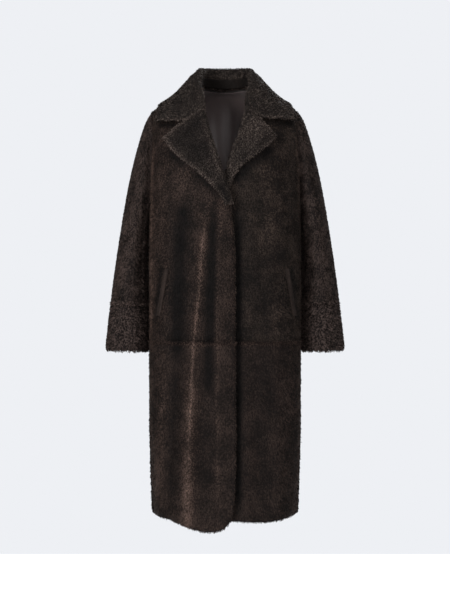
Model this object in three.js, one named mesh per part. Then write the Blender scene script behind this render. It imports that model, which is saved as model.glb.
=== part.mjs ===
// A long shearling coat, filled out as if worn, with notched lapels and dropped sleeves.
// Millimetres, +Z up. The origin is the middle of the neck base, and the front faces -Y.
// The wearer's left is +X. Each panel is worked out in its own side's coordinate w, which is
// measured from the centre line towards that side, and then placed on the left or the right.
// Outer faces are the tips of the pile, so each wall is leather and pile together.
import * as THREE from "three";

// Driving sizes
const WALL = 8; // leather and pile
const SEAM = 0.3; // gap between two sewn pieces
const LAYER_GAP = 2; // air between a turned piece and the panel it lies on
const CHEST_Z = -190; // level below which the body's sections are plain
const HIP_SEAM_Z = -662; // piecing seam across the fronts and the back
const UNDERARM_Z = -330;
const ARMHOLE_W = 190;
const SIDE_W = 199;
const SHOULDER_Y = -5; // the shoulder seam lies this far forward
const NECK_W = 58;
const NECK_DEPTH = 83; // from the shoulder seam back to the centre back neck
const NECK_BACK_Z = 12;
const NECK_SIDE_Z = 11;
const GORGE = { w: 61, z: -70 }; // where collar and lapel meet at the roll
const LINING_WALL = 1.5;
const LINING_COLUMNS = { from: 7, to: 13 }; // columns of the upper back that it covers
const WELT_WIDTH = 11;
const WELT_WALL = 2.5;
const WELT_GAP = 1; // between a pocket lip and its front
const WELT_CELLS = { along: 8, across: 2 };

// Number of cells along the parts of each panel
const NECK_ROWS = 3;
const LAPEL_ROWS = 8;
const ARMHOLE_ROWS = NECK_ROWS + LAPEL_ROWS + 1;
const SIDE_ROWS = 6;
const LOWER_ROWS = 8;
const FRONT_COLUMNS = 14;
const BACK_COLUMNS = 20;
const TURN_STEPS = 6;
const LEAF_STEPS = 6;

// Sections of the body: half width, depth of the widest place, and the front and back reach
const SECTIONS = [
  { z: -190, half: 200, sideY: -5, frontY: -150, backY: 132 },
  { z: -330, half: 199, sideY: -20, frontY: -152, backY: 128 },
  { z: -450, half: 199, sideY: -28, frontY: -152, backY: 122 },
  { z: -700, half: 199, sideY: -28, frontY: -152, backY: 120 },
  { z: -900, half: 199, sideY: -26, frontY: -154, backY: 123 },
  { z: -1150, half: 192, sideY: -20, frontY: -158, backY: 129 },
];

// Height of the shoulder seam from the neck out to the armhole
const SHOULDER = [
  { w: 58, z: 11 },
  { w: 76, z: 5 },
  { w: 100, z: -6 },
  { w: 130, z: -22 },
  { w: 155, z: -36 },
  { w: 172, z: -46 },
  { w: 190, z: -60 },
  { w: 200, z: -71 },
];

// Roll line and front edge of the right front, which laps over
const RIGHT_EDGE = [
  { w: 60, z: -70 },
  { w: 43, z: -134 },
  { w: 22, z: -198 },
  { w: 6, z: -250 },
  { w: -6, z: -285 },
  { w: -12, z: -310 },
];
const RIGHT_EDGE_BELOW = [
  { w: -12, z: -310 },
  { w: -21, z: -370 },
  { w: -25, z: -460 },
  { w: -26, z: -662 },
];
const RIGHT_EDGE_LOW = [
  { w: -26, z: -662 },
  { w: -27, z: -900 },
  { w: -25, z: -1040 },
  { w: -17, z: -1108 },
];
const RIGHT_HEM = [
  { w: -17, z: -1108 },
  { w: -6, z: -1131 },
  { w: 16, z: -1144 },
  { w: 44, z: -1148 },
  { w: 75, z: -1143 },
  { w: 110, z: -1129 },
  { w: 150, z: -1119 },
  { w: 192, z: -1112 },
];

// Roll line and front edge of the left front, which lies under
const LEFT_EDGE = [
  { w: 60, z: -70 },
  { w: 40, z: -134 },
  { w: 19, z: -190 },
  { w: 8, z: -236 },
  { w: -6, z: -275 },
  { w: -14, z: -300 },
];
const LEFT_EDGE_BELOW = [
  { w: -14, z: -300 },
  { w: -22, z: -360 },
  { w: -25, z: -460 },
  { w: -25, z: -662 },
];
const LEFT_EDGE_LOW = [
  { w: -25, z: -662 },
  { w: -25, z: -900 },
  { w: -25, z: -1119 },
];
const LEFT_HEM = [
  { w: -25, z: -1119 },
  { w: 40, z: -1121 },
  { w: 100, z: -1124 },
  { w: 150, z: -1118 },
  { w: 193, z: -1112 },
];

// Lapels: the line from the roll to the notch and the tip, then the free edge down to the break
const RIGHT_LAPEL = {
  notch: { w: 100, z: -97 },
  tip: { w: 150, z: -141 },
  free: [
    { w: 150, z: -141 },
    { w: 120, z: -183 },
    { w: 79, z: -216 },
    { w: 42, z: -249 },
    { w: 12, z: -286 },
    { w: -1, z: -312 },
  ],
};
const LEFT_LAPEL = {
  notch: { w: 84, z: -89 },
  tip: { w: 126, z: -138 },
  free: [
    { w: 126, z: -138 },
    { w: 94, z: -171 },
    { w: 57, z: -197 },
    { w: 34, z: -219 },
    { w: 19, z: -250 },
    { w: -3, z: -302 },
  ],
};

// The collar, from the centre back (0) to the gorge (1): height of the stand, rise above it, and
// the wall's heading before and after the roll in degrees above straight out
const COLLAR = [
  { at: 0, stand: 27, rise: 20, headIn: 90, headOut: -74 },
  { at: 0.22, stand: 27, rise: 18, headIn: 90, headOut: -66 },
  { at: 0.42, stand: 25, rise: 14, headIn: 90, headOut: -54 },
  { at: 0.58, stand: 20, rise: 13, headIn: 90, headOut: -46 },
  { at: 0.74, stand: 9, rise: 12, headIn: 90, headOut: -34 },
  { at: 0.87, stand: 0, rise: 6, headIn: 132, headOut: -16 },
  { at: 0.94, stand: 0, rise: 2, headIn: 160, headOut: -6 },
];

// The collar's leaf on the same scale: a point half way down it and its edge
const LEAF = [
  { at: 0, midW: 0, midY: 114, midZ: 14, edgeW: 0, edgeY: 133, edgeZ: -42 },
  { at: 0.22, midW: 58, midY: 97, midZ: 14, edgeW: 84, edgeY: 112, edgeZ: -42 },
  { at: 0.42, midW: 98, midY: 58, midZ: 18, edgeW: 142, edgeY: 66, edgeZ: -38 },
  { at: 0.58, midW: 116, midY: 4, midZ: 4, edgeW: 163, edgeY: 12, edgeZ: -39 },
  { at: 0.74, midW: 116, midY: -48, midZ: -14, edgeW: 171, edgeY: -28, edgeZ: -54 },
  { at: 0.87, midW: 106, midY: -90, midZ: -42, edgeW: 174, edgeY: -52, edgeZ: -75 },
  { at: 0.94, midW: 102, midY: -105, midZ: -68, edgeW: 174, edgeY: -60, edgeZ: -84 },
];
const COLLAR_CORNER = {
  right: { w: 173, z: -93 },
  left: { w: 174, z: -90 },
};
const COLLAR_STATIONS = [0, 0.11, 0.22, 0.32, 0.42, 0.5, 0.58, 0.66, 0.74, 0.81, 0.87, 0.94];
const STAND_STATIONS = [0, 0.15, 0.3, 0.42, 0.52, 0.6, 0.67, 0.74];
const STAND_GAP = 1.2; // between the stand and the pieces above and below it
const STAND_LEAST = 1; // its least height, at its ends
const STAND_CELLS = 2;
const NECK_TURN_AT = 0.52; // place on the collar's scale where the back neck meets the shoulder
const NECK_TILT = 0.62; // share of the front neck over which the collar tips onto the front
const ROLL_POINT = 4; // a point of a collar section on its roll
const SLOPE_STEP = 0.5; // distance that the shoulder's slope is measured over

// Sleeve and cuff rings: outermost and innermost place, half depth and middle
const SLEEVE = [
  { row: 0, outW: 190, outZ: -60, inW: 199, inZ: -330, half: 54, midY: -12 },
  { row: 1, outW: 207, outZ: -85, inW: 202, inZ: -325, half: 60, midY: -8 },
  { row: 2, outW: 221, outZ: -122, inW: 204, inZ: -340, half: 66, midY: -2 },
  { row: 3, outW: 237, outZ: -175, inW: 204, inZ: -360, half: 71, midY: 5 },
  { row: 4, outW: 252, outZ: -240, inW: 204, inZ: -384, half: 75, midY: 11 },
  { row: 5, outW: 266, outZ: -310, inW: 205, inZ: -412, half: 77, midY: 17 },
  { row: 6, outW: 278, outZ: -385, inW: 206, inZ: -450, half: 77, midY: 21 },
  { row: 7, outW: 289, outZ: -456, inW: 205, inZ: -494, half: 75, midY: 23 },
  { row: 8, outW: 298, outZ: -519, inW: 204, inZ: -537, half: 73, midY: 23 },
  { row: 9, outW: 303, outZ: -561, inW: 203, inZ: -566, half: 72, midY: 22 },
  { row: 10, outW: 310, outZ: -622, inW: 203, inZ: -622, half: 71, midY: 20 },
  { row: 11, outW: 317, outZ: -686, inW: 204, inZ: -690, half: 70, midY: 16 },
];
const CUFF_SEAM_ROW = 9;
const SLEEVE_RINGS = [1, 2, 3, 4, 5, 6, 6.75, 7.5, 8.25, CUFF_SEAM_ROW, 9.75, 10.5, 11];
const ARMHOLE_REACH = 4; // rows along the sleeve that still keep the armhole's own outline
const ARMHOLE_FADE = 1.5; // power by which they lose it
const ARMHOLE_BOW = 1.5; // power by which the armhole runs out to the side seam
const ARMHOLE_SEAM = 0.5; // gap along the armhole, a little wider than the other seams
const SLEEVE_CLEAR = 3;
const ROLL_LEAD = 2; // the sleeve runs on this far past the armhole seam before it turns
const ROLL_RADIUS = 1; // and turns over the body with this radius at its outer face
const SLEEVE_SEAMS = { front: 9, back: 16 }; // points of the armhole where top and under sleeve meet

// Soft ridges (positive height) and troughs in each panel: from top to hem
const FOLDS = {
  right: [
    { topW: 40, topZ: -270, endW: 72, endZ: -580, width: 11, height: 7 },
    { topW: 68, topZ: -520, endW: 107, endZ: -1140, width: 19, height: 17 },
    { topW: 20, topZ: -420, endW: 38, endZ: -1140, width: 24, height: -7 },
    { topW: 120, topZ: -380, endW: 146, endZ: -1140, width: 17, height: -9 },
    { topW: 150, topZ: -700, endW: 172, endZ: -1140, width: 14, height: 6 },
  ],
  left: [
    { topW: 118, topZ: -380, endW: 134, endZ: -700, width: 26, height: 6 },
    { topW: 80, topZ: -420, endW: 88, endZ: -1120, width: 18, height: -6 },
    { topW: 40, topZ: -560, endW: 52, endZ: -1120, width: 22, height: 6 },
    { topW: 128, topZ: -760, endW: 142, endZ: -1120, width: 16, height: 7 },
    { topW: 158, topZ: -560, endW: 170, endZ: -1120, width: 12, height: -5 },
  ],
  back: [
    { topW: -118, topZ: -330, endW: -134, endZ: -1120, width: 24, height: 9 },
    { topW: -70, topZ: -260, endW: -78, endZ: -1120, width: 22, height: -8 },
    { topW: -16, topZ: -420, endW: -26, endZ: -1120, width: 24, height: 10 },
    { topW: 42, topZ: -300, endW: 40, endZ: -1120, width: 20, height: -9 },
    { topW: 96, topZ: -380, endW: 104, endZ: -1120, width: 26, height: 11 },
    { topW: 150, topZ: -520, endW: 156, endZ: -1120, width: 14, height: -6 },
  ],
};

// Folds of the sleeve: place along it in rows of the table, turn round it in degrees
const SLEEVE_FOLDS = [
  { fromRow: 2.2, toRow: 5.2, fromTurn: 150, toTurn: 60, width: 22, height: -6 },
  { fromRow: 3.6, toRow: 7.4, fromTurn: 120, toTurn: 20, width: 20, height: 4 },
  { fromRow: 5.4, toRow: 8.2, fromTurn: 165, toTurn: 95, width: 18, height: -5 },
  { fromRow: 3.0, toRow: 6.6, fromTurn: 215, toTurn: 300, width: 24, height: -6 },
  { fromRow: 5.8, toRow: 8.6, fromTurn: 200, toTurn: 285, width: 20, height: 4 },
];

// How far the right front stands forward, and the left front back, where they lap
const LAP = { width: 95, fullW: 10, startZ: -110, fullZ: -235, over: 10, under: 12 };

// Pocket mouths, from the upper to the lower end
const POCKET = {
  right: { topW: 149, topZ: -477, endW: 172, endZ: -597 },
  left: { topW: 158, topZ: -474, endW: 180, endZ: -597 },
};

const COLOURS = {
  panel: 0x2a2220,
  lower: 0x241e1c,
  cuff: 0x332a28,
  collar: 0x302826,
  stand: 0x14110f,
  lining: 0x352d2e,
  welt: 0x1c1715,
};

// The four faces of the body
const FRONT = { side: -1, reach: "frontY", round: 2.4, slope: 1.8 };
const FACES = {
  right: { ...FRONT, lap: LAP.over, folds: FOLDS.right },
  left: { ...FRONT, lap: -LAP.under, folds: FOLDS.left },
  back: { side: 1, reach: "backY", round: 2.2, slope: 2.6, lap: 0, folds: FOLDS.back },
};

const QUARTER = Math.PI / 2;
const FOLD_RISE = 0.7; // share of a fold's length in which it comes up from nothing
const SIDE_FADE = 0.4; // turn before the side seam over which folds die away
const TOP_FADE = 0.83; // level over which they come up below the shoulder
const PROBE = 0.003; // step of turn and level that a normal is measured over
const SIDE_BAND = 0.02; // turn from the side seam, and level from the shoulder seam, within
const TOP_BAND = 0.002; // which the normal is set so that both faces share it
const smooth = (t) => THREE.MathUtils.smoothstep(t, 0, 1);
const radians = THREE.MathUtils.degToRad;

// Value of one column of a table at a place between its rows, on a smooth curve through them
function lookUp(table, key, column, place) {
  const rising = table[table.length - 1][key] > table[0][key];
  const passed = (row) => (rising ? row[key] <= place : row[key] >= place);
  const last = table.length - 2;
  let i = 0;
  while (i < last && passed(table[i + 1])) {
    i += 1;
  }
  const rows = [table[Math.max(i - 1, 0)], table[i], table[i + 1], table[Math.min(i + 2, last + 1)]];
  const t = THREE.MathUtils.clamp((place - rows[1][key]) / (rows[2][key] - rows[1][key]), 0, 1);
  const step = rows[2][key] - rows[1][key];
  const rate = (a, b) => (b[key] === a[key] ? 0 : ((b[column] - a[column]) / (b[key] - a[key])) * step);
  const start = rate(rows[0], rows[2]);
  const end = rate(rows[1], rows[3]);
  const t2 = t * t;
  const t3 = t2 * t;
  return (
    (2 * t3 - 3 * t2 + 1) * rows[1][column] +
    (t3 - 2 * t2 + t) * start +
    (3 * t2 - 2 * t3) * rows[2][column] +
    (t3 - t2) * end
  );
}

function sectionAt(z) {
  const at = (column) => lookUp(SECTIONS, "z", column, z);
  return { half: at("half"), sideY: at("sideY"), frontY: at("frontY"), backY: at("backY") };
}

// Top edge of a face above a place w: the shoulder seam, or the neck between the shoulders
function topEdge(face, w) {
  const across = Math.abs(w);
  if (across >= NECK_W) {
    return { y: SHOULDER_Y, z: lookUp(SHOULDER, "w", "z", across) };
  }
  const share = across / NECK_W;
  if (face.side < 0) {
    return { y: SHOULDER_Y, z: NECK_SIDE_Z };
  }
  return {
    y: SHOULDER_Y + NECK_DEPTH * Math.sqrt(1 - share * share),
    z: NECK_BACK_Z + (NECK_SIDE_Z - NECK_BACK_Z) * share * share,
  };
}

// Folds and lap of a face, as a distance outwards
function relief(face, w, z) {
  const lapReach = smooth((LAP.width - w) / (LAP.width - LAP.fullW));
  const lapRise = smooth((LAP.startZ - z) / (LAP.startZ - LAP.fullZ));
  return face.folds.reduce((sum, fold) => {
    const share = (fold.topZ - z) / (fold.topZ - fold.endZ);
    const off = (w - THREE.MathUtils.lerp(fold.topW, fold.endW, share)) / fold.width;
    return sum + fold.height * smooth(share / FOLD_RISE) * Math.exp(-off * off);
  }, face.lap * lapReach * lapRise);
}

// Point of a face at a turn from the centre line (a, radians) and a level s. The level is 0 at
// the top edge, 1 at the chest, and goes on by 1 for each chest height below that.
function bodyPoint(face, a, s) {
  const plainZ = s > 1 ? CHEST_Z + (s - 1) * CHEST_Z : CHEST_Z;
  const section = sectionAt(plainZ);
  const turn = Math.sin(a);
  const w = section.half * turn;
  const full = Math.pow(Math.max(0, 1 - Math.pow(Math.abs(turn), face.round)), 1 / face.round);
  let y = section.sideY + (section[face.reach] - section.sideY) * full;
  let z = plainZ;
  if (s < 1) {
    const top = topEdge(face, w);
    const fall = 1 - Math.cos(s * QUARTER);
    z = top.z + (CHEST_Z - top.z) * fall;
    y = top.y + (y - top.y) * Math.pow(1 - Math.pow(1 - fall, face.slope), 1 / face.slope);
  }
  const fade = smooth((QUARTER - Math.abs(a)) / SIDE_FADE) * smooth(s / TOP_FADE);
  return new THREE.Vector3(w, y + face.side * relief(face, w, z) * fade, z);
}

// Turn and level of the place w, z on a face
function bodyPlace(face, w, z) {
  const half = sectionAt(Math.min(z, CHEST_Z)).half;
  const a = Math.asin(THREE.MathUtils.clamp(w / half, -1, 1));
  if (z <= CHEST_Z) {
    return { a, s: 1 + (z - CHEST_Z) / CHEST_Z };
  }
  const top = topEdge(face, w);
  const fall = THREE.MathUtils.clamp((top.z - z) / (top.z - CHEST_Z), 0, 1);
  return { a, s: Math.acos(1 - fall) / QUARTER };
}

// Outward normal of a face. At the side and shoulder seams both faces share it.
function bodyNormal(face, a, s) {
  const atSide = Math.abs(a) > QUARTER - SIDE_BAND;
  const alongTurn = atSide
    ? new THREE.Vector3(0, -face.side * Math.sign(a), 0)
    : bodyPoint(face, a + PROBE, s).sub(bodyPoint(face, a - PROBE, s));
  const alongLevel =
    s < TOP_BAND
      ? new THREE.Vector3(0, face.side, 0)
      : bodyPoint(face, a, s + PROBE).sub(bodyPoint(face, a, Math.max(s - PROBE, 0)));
  return alongTurn.cross(alongLevel).multiplyScalar(face.side).normalize();
}

// A smooth line of places on a face through the rows of a table, cut into equal steps
function line(face, table, steps) {
  const curve = new THREE.SplineCurve(table.map((row) => new THREE.Vector2(row.w, row.z)));
  return Array.from({ length: steps + 1 }, (_, k) => {
    const p = curve.getPointAt(k / steps);
    return bodyPlace(face, p.x, p.y);
  });
}

const join = (...lists) => lists.reduce((all, list) => all.concat(list.slice(1)));

// Grid of places between four edges
function spread(left, right, top, bottom) {
  const rows = left.length - 1;
  const columns = top.length - 1;
  const mix = (key, j, i) => {
    const u = i / columns;
    const v = j / rows;
    const sides = (1 - u) * left[j][key] + u * right[j][key];
    const ends = (1 - v) * top[i][key] + v * bottom[i][key];
    const upper = (1 - u) * left[0][key] + u * right[0][key];
    const lower = (1 - u) * left[rows][key] + u * right[rows][key];
    return sides + ends - (1 - v) * upper - v * lower;
  };
  return left.map((_, j) => top.map((__, i) => ({ a: mix("a", j, i), s: mix("s", j, i) })));
}

// A wall of the body under a grid of places: outer and inner points
function bodyWall(face, places, depth = 0, wall = WALL) {
  const layer = (under) =>
    places.map((row) =>
      row.map((p) => bodyPoint(face, p.a, p.s).addScaledVector(bodyNormal(face, p.a, p.s), -under)),
    );
  return { outer: layer(depth), inner: layer(depth + wall) };
}

// Draw the named edges of a wall back by half a seam
function drawBack(wall, edges) {
  [wall.outer, wall.inner].forEach((grid) => {
    const rows = grid.length - 1;
    const columns = grid[0].length - 1;
    const moves = [];
    const move = (j, i, towardsJ, towardsI) => {
      const step = grid[towardsJ][towardsI].clone().sub(grid[j][i]).setLength(SEAM / 2);
      moves.push({ point: grid[j][i], step });
    };
    for (let i = 0; i <= columns; i += 1) {
      if (edges.includes("top")) {
        move(0, i, 1, i);
      }
      if (edges.includes("bottom")) {
        move(rows, i, rows - 1, i);
      }
    }
    for (let j = 0; j <= rows; j += 1) {
      if (edges.includes("left")) {
        move(j, 0, j, 1);
      }
      if (edges.includes("right")) {
        move(j, columns, j, columns - 1);
      }
    }
    moves.forEach(({ point, step }) => point.add(step));
  });
  return wall;
}

// The part of a wall between two of its rows
function cutRows(wall, from, to) {
  const cut = (grid) => grid.slice(from, to + 1).map((row) => row.map((p) => p.clone()));
  return { outer: cut(wall.outer), inner: cut(wall.inner) };
}

// The part of a wall between two of its columns, which may go on round a tube
function cutColumns(wall, from, to) {
  const columns = Array.from({ length: to - from + 1 }, (_, k) => from + k);
  const cut = (grid) => grid.map((row) => columns.map((i) => row[i % row.length].clone()));
  return { outer: cut(wall.outer), inner: cut(wall.inner) };
}

function signedVolume(positions, index) {
  const corner = (k) => new THREE.Vector3().fromArray(positions, 3 * index[k]);
  let six = 0;
  for (let k = 0; k < index.length; k += 3) {
    six += corner(k).dot(corner(k + 1).cross(corner(k + 2)));
  }
  return six / 6;
}

// Closed solid between an outer and an inner grid. A tube's columns close round.
function wallGeometry(wall, tube = false) {
  const rows = wall.outer.length;
  const columns = wall.outer[0].length;
  const positions = [wall.outer, wall.inner].flat(2).flatMap((p) => [p.x, p.y, p.z]);
  const at = (layer, j, i) => (layer * rows + j) * columns + (i % columns);
  const index = [];
  const quad = (a, b, c, d) => index.push(a, b, c, a, c, d);
  const across = tube ? columns : columns - 1;
  for (let i = 0; i < across; i += 1) {
    for (let j = 0; j < rows - 1; j += 1) {
      quad(at(0, j, i), at(0, j, i + 1), at(0, j + 1, i + 1), at(0, j + 1, i));
      quad(at(1, j, i), at(1, j + 1, i), at(1, j + 1, i + 1), at(1, j, i + 1));
    }
    quad(at(0, 0, i), at(1, 0, i), at(1, 0, i + 1), at(0, 0, i + 1));
    quad(at(0, rows - 1, i), at(0, rows - 1, i + 1), at(1, rows - 1, i + 1), at(1, rows - 1, i));
  }
  const end = columns - 1;
  for (let j = 0; !tube && j < rows - 1; j += 1) {
    quad(at(0, j, 0), at(0, j + 1, 0), at(1, j + 1, 0), at(1, j, 0));
    quad(at(0, j, end), at(1, j, end), at(1, j + 1, end), at(0, j + 1, end));
  }
  if (signedVolume(positions, index) < 0) {
    index.reverse();
  }
  return new THREE.BufferGeometry()
    .setAttribute("position", new THREE.Float32BufferAttribute(positions, 3))
    .setIndex(index);
}

// A piece on the wearer's left (side 1) or right (side -1)
function piece(name, wall, side, colour, tube = false) {
  const place = (grid) => grid.map((row) => row.map((p) => new THREE.Vector3(side * p.x, p.y, p.z)));
  const geometry = wallGeometry({ outer: place(wall.outer), inner: place(wall.inner) }, tube);
  geometry.computeVertexNormals();
  const mesh = new THREE.Mesh(
    geometry,
    new THREE.MeshStandardMaterial({ color: colour, roughness: 0.95, metalness: 0 }),
  );
  mesh.name = name;
  return mesh;
}

// The armhole as places on a face, from the shoulder seam down to the side seam
function armholePlaces(face) {
  return Array.from({ length: ARMHOLE_ROWS + 1 }, (_, k) => {
    const turn = Math.cos((Math.PI * k) / ARMHOLE_ROWS);
    const top = lookUp(SHOULDER, "w", "z", ARMHOLE_W);
    const z = CHEST_Z + turn * (turn > 0 ? top - CHEST_Z : CHEST_Z - UNDERARM_Z);
    const w = ARMHOLE_W + (SIDE_W - ARMHOLE_W) * Math.pow((1 - turn) / 2, ARMHOLE_BOW);
    const place = bodyPlace(face, w, z);
    return k === ARMHOLE_ROWS ? { a: QUARTER, s: place.s } : place;
  });
}

function sideSeam(fromZ, toZ, steps) {
  return Array.from({ length: steps + 1 }, (_, k) => {
    const z = THREE.MathUtils.lerp(fromZ, toZ, k / steps);
    return { a: QUARTER, s: 1 + (z - CHEST_Z) / CHEST_Z };
  });
}

function levelEdge(from, to, steps) {
  return Array.from({ length: steps + 1 }, (_, k) => ({
    a: THREE.MathUtils.lerp(from.a, to.a, k / steps),
    s: THREE.MathUtils.lerp(from.s, to.s, k / steps),
  }));
}

// Move the armhole edge of a body wall back by half its seam, and give the sleeve's first
// points, moved on by as much
function partAtArmhole(wall, column, before) {
  const shifts = [];
  for (let j = 0; j <= ARMHOLE_ROWS; j += 1) {
    const here = wall.outer[j][column];
    const normal = here.clone().sub(wall.inner[j][column]).normalize();
    const along = wall.outer[Math.min(j + 1, ARMHOLE_ROWS)][column]
      .clone()
      .sub(wall.outer[Math.max(j - 1, 0)][column]);
    const onward = normal.cross(along).normalize();
    if (onward.dot(here.clone().sub(wall.outer[j][before])) < 0) {
      onward.negate();
    }
    shifts.push(onward.multiplyScalar(ARMHOLE_SEAM / 2));
  }
  return shifts.map((shift, j) => {
    const first = {
      outer: wall.outer[j][column].clone(),
      inner: wall.inner[j][column].clone(),
      onward: shift.clone().normalize(),
    };
    first.outer.add(shift);
    first.inner.add(shift);
    wall.outer[j][column].sub(shift);
    wall.inner[j][column].sub(shift);
    return first;
  });
}

// Fronts

const FRONT_EDGES = {
  right: { roll: RIGHT_EDGE, below: RIGHT_EDGE_BELOW, low: RIGHT_EDGE_LOW, hem: RIGHT_HEM },
  left: { roll: LEFT_EDGE, below: LEFT_EDGE_BELOW, low: LEFT_EDGE_LOW, hem: LEFT_HEM },
};

// Neck edge of a front, from the shoulder seam down to the gorge
function frontNeck(face) {
  const corner = bodyPlace(face, GORGE.w, GORGE.z);
  const start = { a: Math.asin(NECK_W / SECTIONS[0].half), s: 0 };
  return levelEdge(start, corner, NECK_ROWS);
}

function frontUpper(key) {
  const face = FACES[key];
  const edge = FRONT_EDGES[key];
  const neck = frontNeck(face);
  const roll = line(face, edge.roll, LAPEL_ROWS);
  const below = line(face, edge.below, SIDE_ROWS + 1);
  const left = join(neck, roll, below);
  const right = join(armholePlaces(face), sideSeam(UNDERARM_Z, HIP_SEAM_Z, SIDE_ROWS));
  const top = levelEdge(left[0], right[0], FRONT_COLUMNS).map((p) => ({ a: p.a, s: 0 }));
  const bottom = levelEdge(left[left.length - 1], right[right.length - 1], FRONT_COLUMNS);
  const wall = bodyWall(face, spread(left, right, top, bottom));
  const armhole = partAtArmhole(wall, FRONT_COLUMNS, FRONT_COLUMNS - 1);
  drawBack(wall, ["top", "bottom", "left"]);
  for (let j = ARMHOLE_ROWS; j < wall.outer.length; j += 1) {
    wall.outer[j][FRONT_COLUMNS].y -= SEAM / 2;
    wall.inner[j][FRONT_COLUMNS].y -= SEAM / 2;
  }
  return { wall, armhole, neck, roll };
}

function frontLower(key) {
  const face = FACES[key];
  const edge = FRONT_EDGES[key];
  const left = line(face, edge.low, LOWER_ROWS);
  const bottom = line(face, edge.hem, FRONT_COLUMNS);
  bottom[FRONT_COLUMNS].a = QUARTER;
  const hemZ = edge.hem[edge.hem.length - 1].z;
  const right = sideSeam(HIP_SEAM_Z, hemZ, LOWER_ROWS);
  const top = levelEdge(left[0], right[0], FRONT_COLUMNS);
  const wall = bodyWall(face, spread(left, right, top, bottom));
  return drawBack(wall, ["top", "right"]);
}

// Back

const mirrored = (places) => places.map((p) => ({ a: -p.a, s: p.s }));

// The upper back, in two halves that meet at the centre back seam
function backUpper() {
  const face = FACES.back;
  const right = join(armholePlaces(face), sideSeam(UNDERARM_Z, HIP_SEAM_Z, SIDE_ROWS));
  const left = mirrored(right);
  const top = levelEdge(left[0], right[0], BACK_COLUMNS).map((p) => ({ a: p.a, s: 0 }));
  const bottom = levelEdge(left[left.length - 1], right[right.length - 1], BACK_COLUMNS);
  const places = spread(left, right, top, bottom);
  const wall = bodyWall(face, places);
  const armholes = {
    left: partAtArmhole(wall, BACK_COLUMNS, BACK_COLUMNS - 1),
    right: partAtArmhole(wall, 0, 1),
  };
  for (let j = ARMHOLE_ROWS; j < wall.outer.length; j += 1) {
    [0, BACK_COLUMNS].forEach((i) => {
      wall.outer[j][i].y += SEAM / 2;
      wall.inner[j][i].y += SEAM / 2;
    });
  }
  const middle = BACK_COLUMNS / 2;
  const halves = {
    right: drawBack(cutColumns(wall, 0, middle), ["top", "bottom", "right"]),
    left: drawBack(cutColumns(wall, middle, BACK_COLUMNS), ["top", "bottom", "left"]),
  };
  return { halves, armholes, places };
}

function backLower() {
  const face = FACES.back;
  const right = sideSeam(HIP_SEAM_Z, LEFT_HEM[LEFT_HEM.length - 1].z, LOWER_ROWS);
  const left = mirrored(sideSeam(HIP_SEAM_Z, RIGHT_HEM[RIGHT_HEM.length - 1].z, LOWER_ROWS));
  const top = levelEdge(left[0], right[0], BACK_COLUMNS);
  const bottom = levelEdge(left[LOWER_ROWS], right[LOWER_ROWS], BACK_COLUMNS);
  return drawBack(bodyWall(face, spread(left, right, top, bottom)), ["top", "left", "right"]);
}

// The satin that shows in the neck, against the inside of the back and made from its places
function liningWall(backPlaces) {
  const { from, to } = LINING_COLUMNS;
  const places = backPlaces.slice(0, ARMHOLE_ROWS + 1).map((row) => row.slice(from, to + 1));
  return bodyWall(FACES.back, places, WALL + 2 * SEAM, LINING_WALL);
}

// Sleeves

function ringPoint(row, turn) {
  const at = (column) => lookUp(SLEEVE, "row", column, row);
  const out = Math.cos(turn);
  return new THREE.Vector3(
    (at("outW") + at("inW")) / 2 + ((at("outW") - at("inW")) / 2) * out,
    at("midY") - at("half") * Math.sin(turn),
    (at("outZ") + at("inZ")) / 2 + ((at("outZ") - at("inZ")) / 2) * out,
  );
}

// Distance that the folds of a sleeve stand out at a row and a turn
function sleeveRelief(row, turn) {
  const degrees = THREE.MathUtils.radToDeg(turn);
  return SLEEVE_FOLDS.reduce((sum, fold) => {
    const share = (row - fold.fromRow) / (fold.toRow - fold.fromRow);
    if (share <= 0 || share >= 1) {
      return sum;
    }
    const off = (degrees - THREE.MathUtils.lerp(fold.fromTurn, fold.toTurn, share)) / fold.width;
    return sum + fold.height * Math.sin(Math.PI * share) * Math.exp(-off * off);
  }, 0);
}

// Push a point of the sleeve clear of the body's side
function keepClear(point, key) {
  if (point.z > UNDERARM_Z) {
    return point;
  }
  const section = sectionAt(point.z);
  const face = point.y < section.sideY ? FACES[key] : FACES.back;
  const reach = section[face.reach] - section.sideY;
  const share = Math.min(1, Math.abs((point.y - section.sideY) / reach));
  const bodyW = section.half * Math.pow(1 - Math.pow(share, face.round), 1 / face.round);
  const least = bodyW + SLEEVE_CLEAR;
  point.x = Math.max(point.x, least);
  return point;
}

function gridNormals(grid, tube) {
  const rows = grid.length - 1;
  const columns = grid[0].length;
  return grid.map((row, j) =>
    row.map((_, i) => {
      const before = tube ? (i + columns - 1) % columns : Math.max(i - 1, 0);
      const after = tube ? (i + 1) % columns : Math.min(i + 1, columns - 1);
      const across = grid[j][after].clone().sub(grid[j][before]);
      const down = grid[Math.min(j + 1, rows)][i].clone().sub(grid[Math.max(j - 1, 0)][i]);
      return across.cross(down).normalize();
    }),
  );
}

// Where a sleeve turns over the armhole seam, half way round towards a point further on
function rollPoint({ outer, inner, onward }, next) {
  const normal = outer.clone().sub(inner).normalize();
  const way = next.clone().sub(outer);
  const turn = Math.max(0, Math.atan2(way.dot(normal), way.dot(onward)) / 2);
  const at = (radius) =>
    outer
      .clone()
      .addScaledVector(onward, ROLL_LEAD + radius * Math.sin(turn))
      .addScaledVector(normal, ROLL_RADIUS - radius * Math.cos(turn));
  return { outer: at(ROLL_RADIUS), inner: at(ROLL_RADIUS + WALL) };
}

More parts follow.
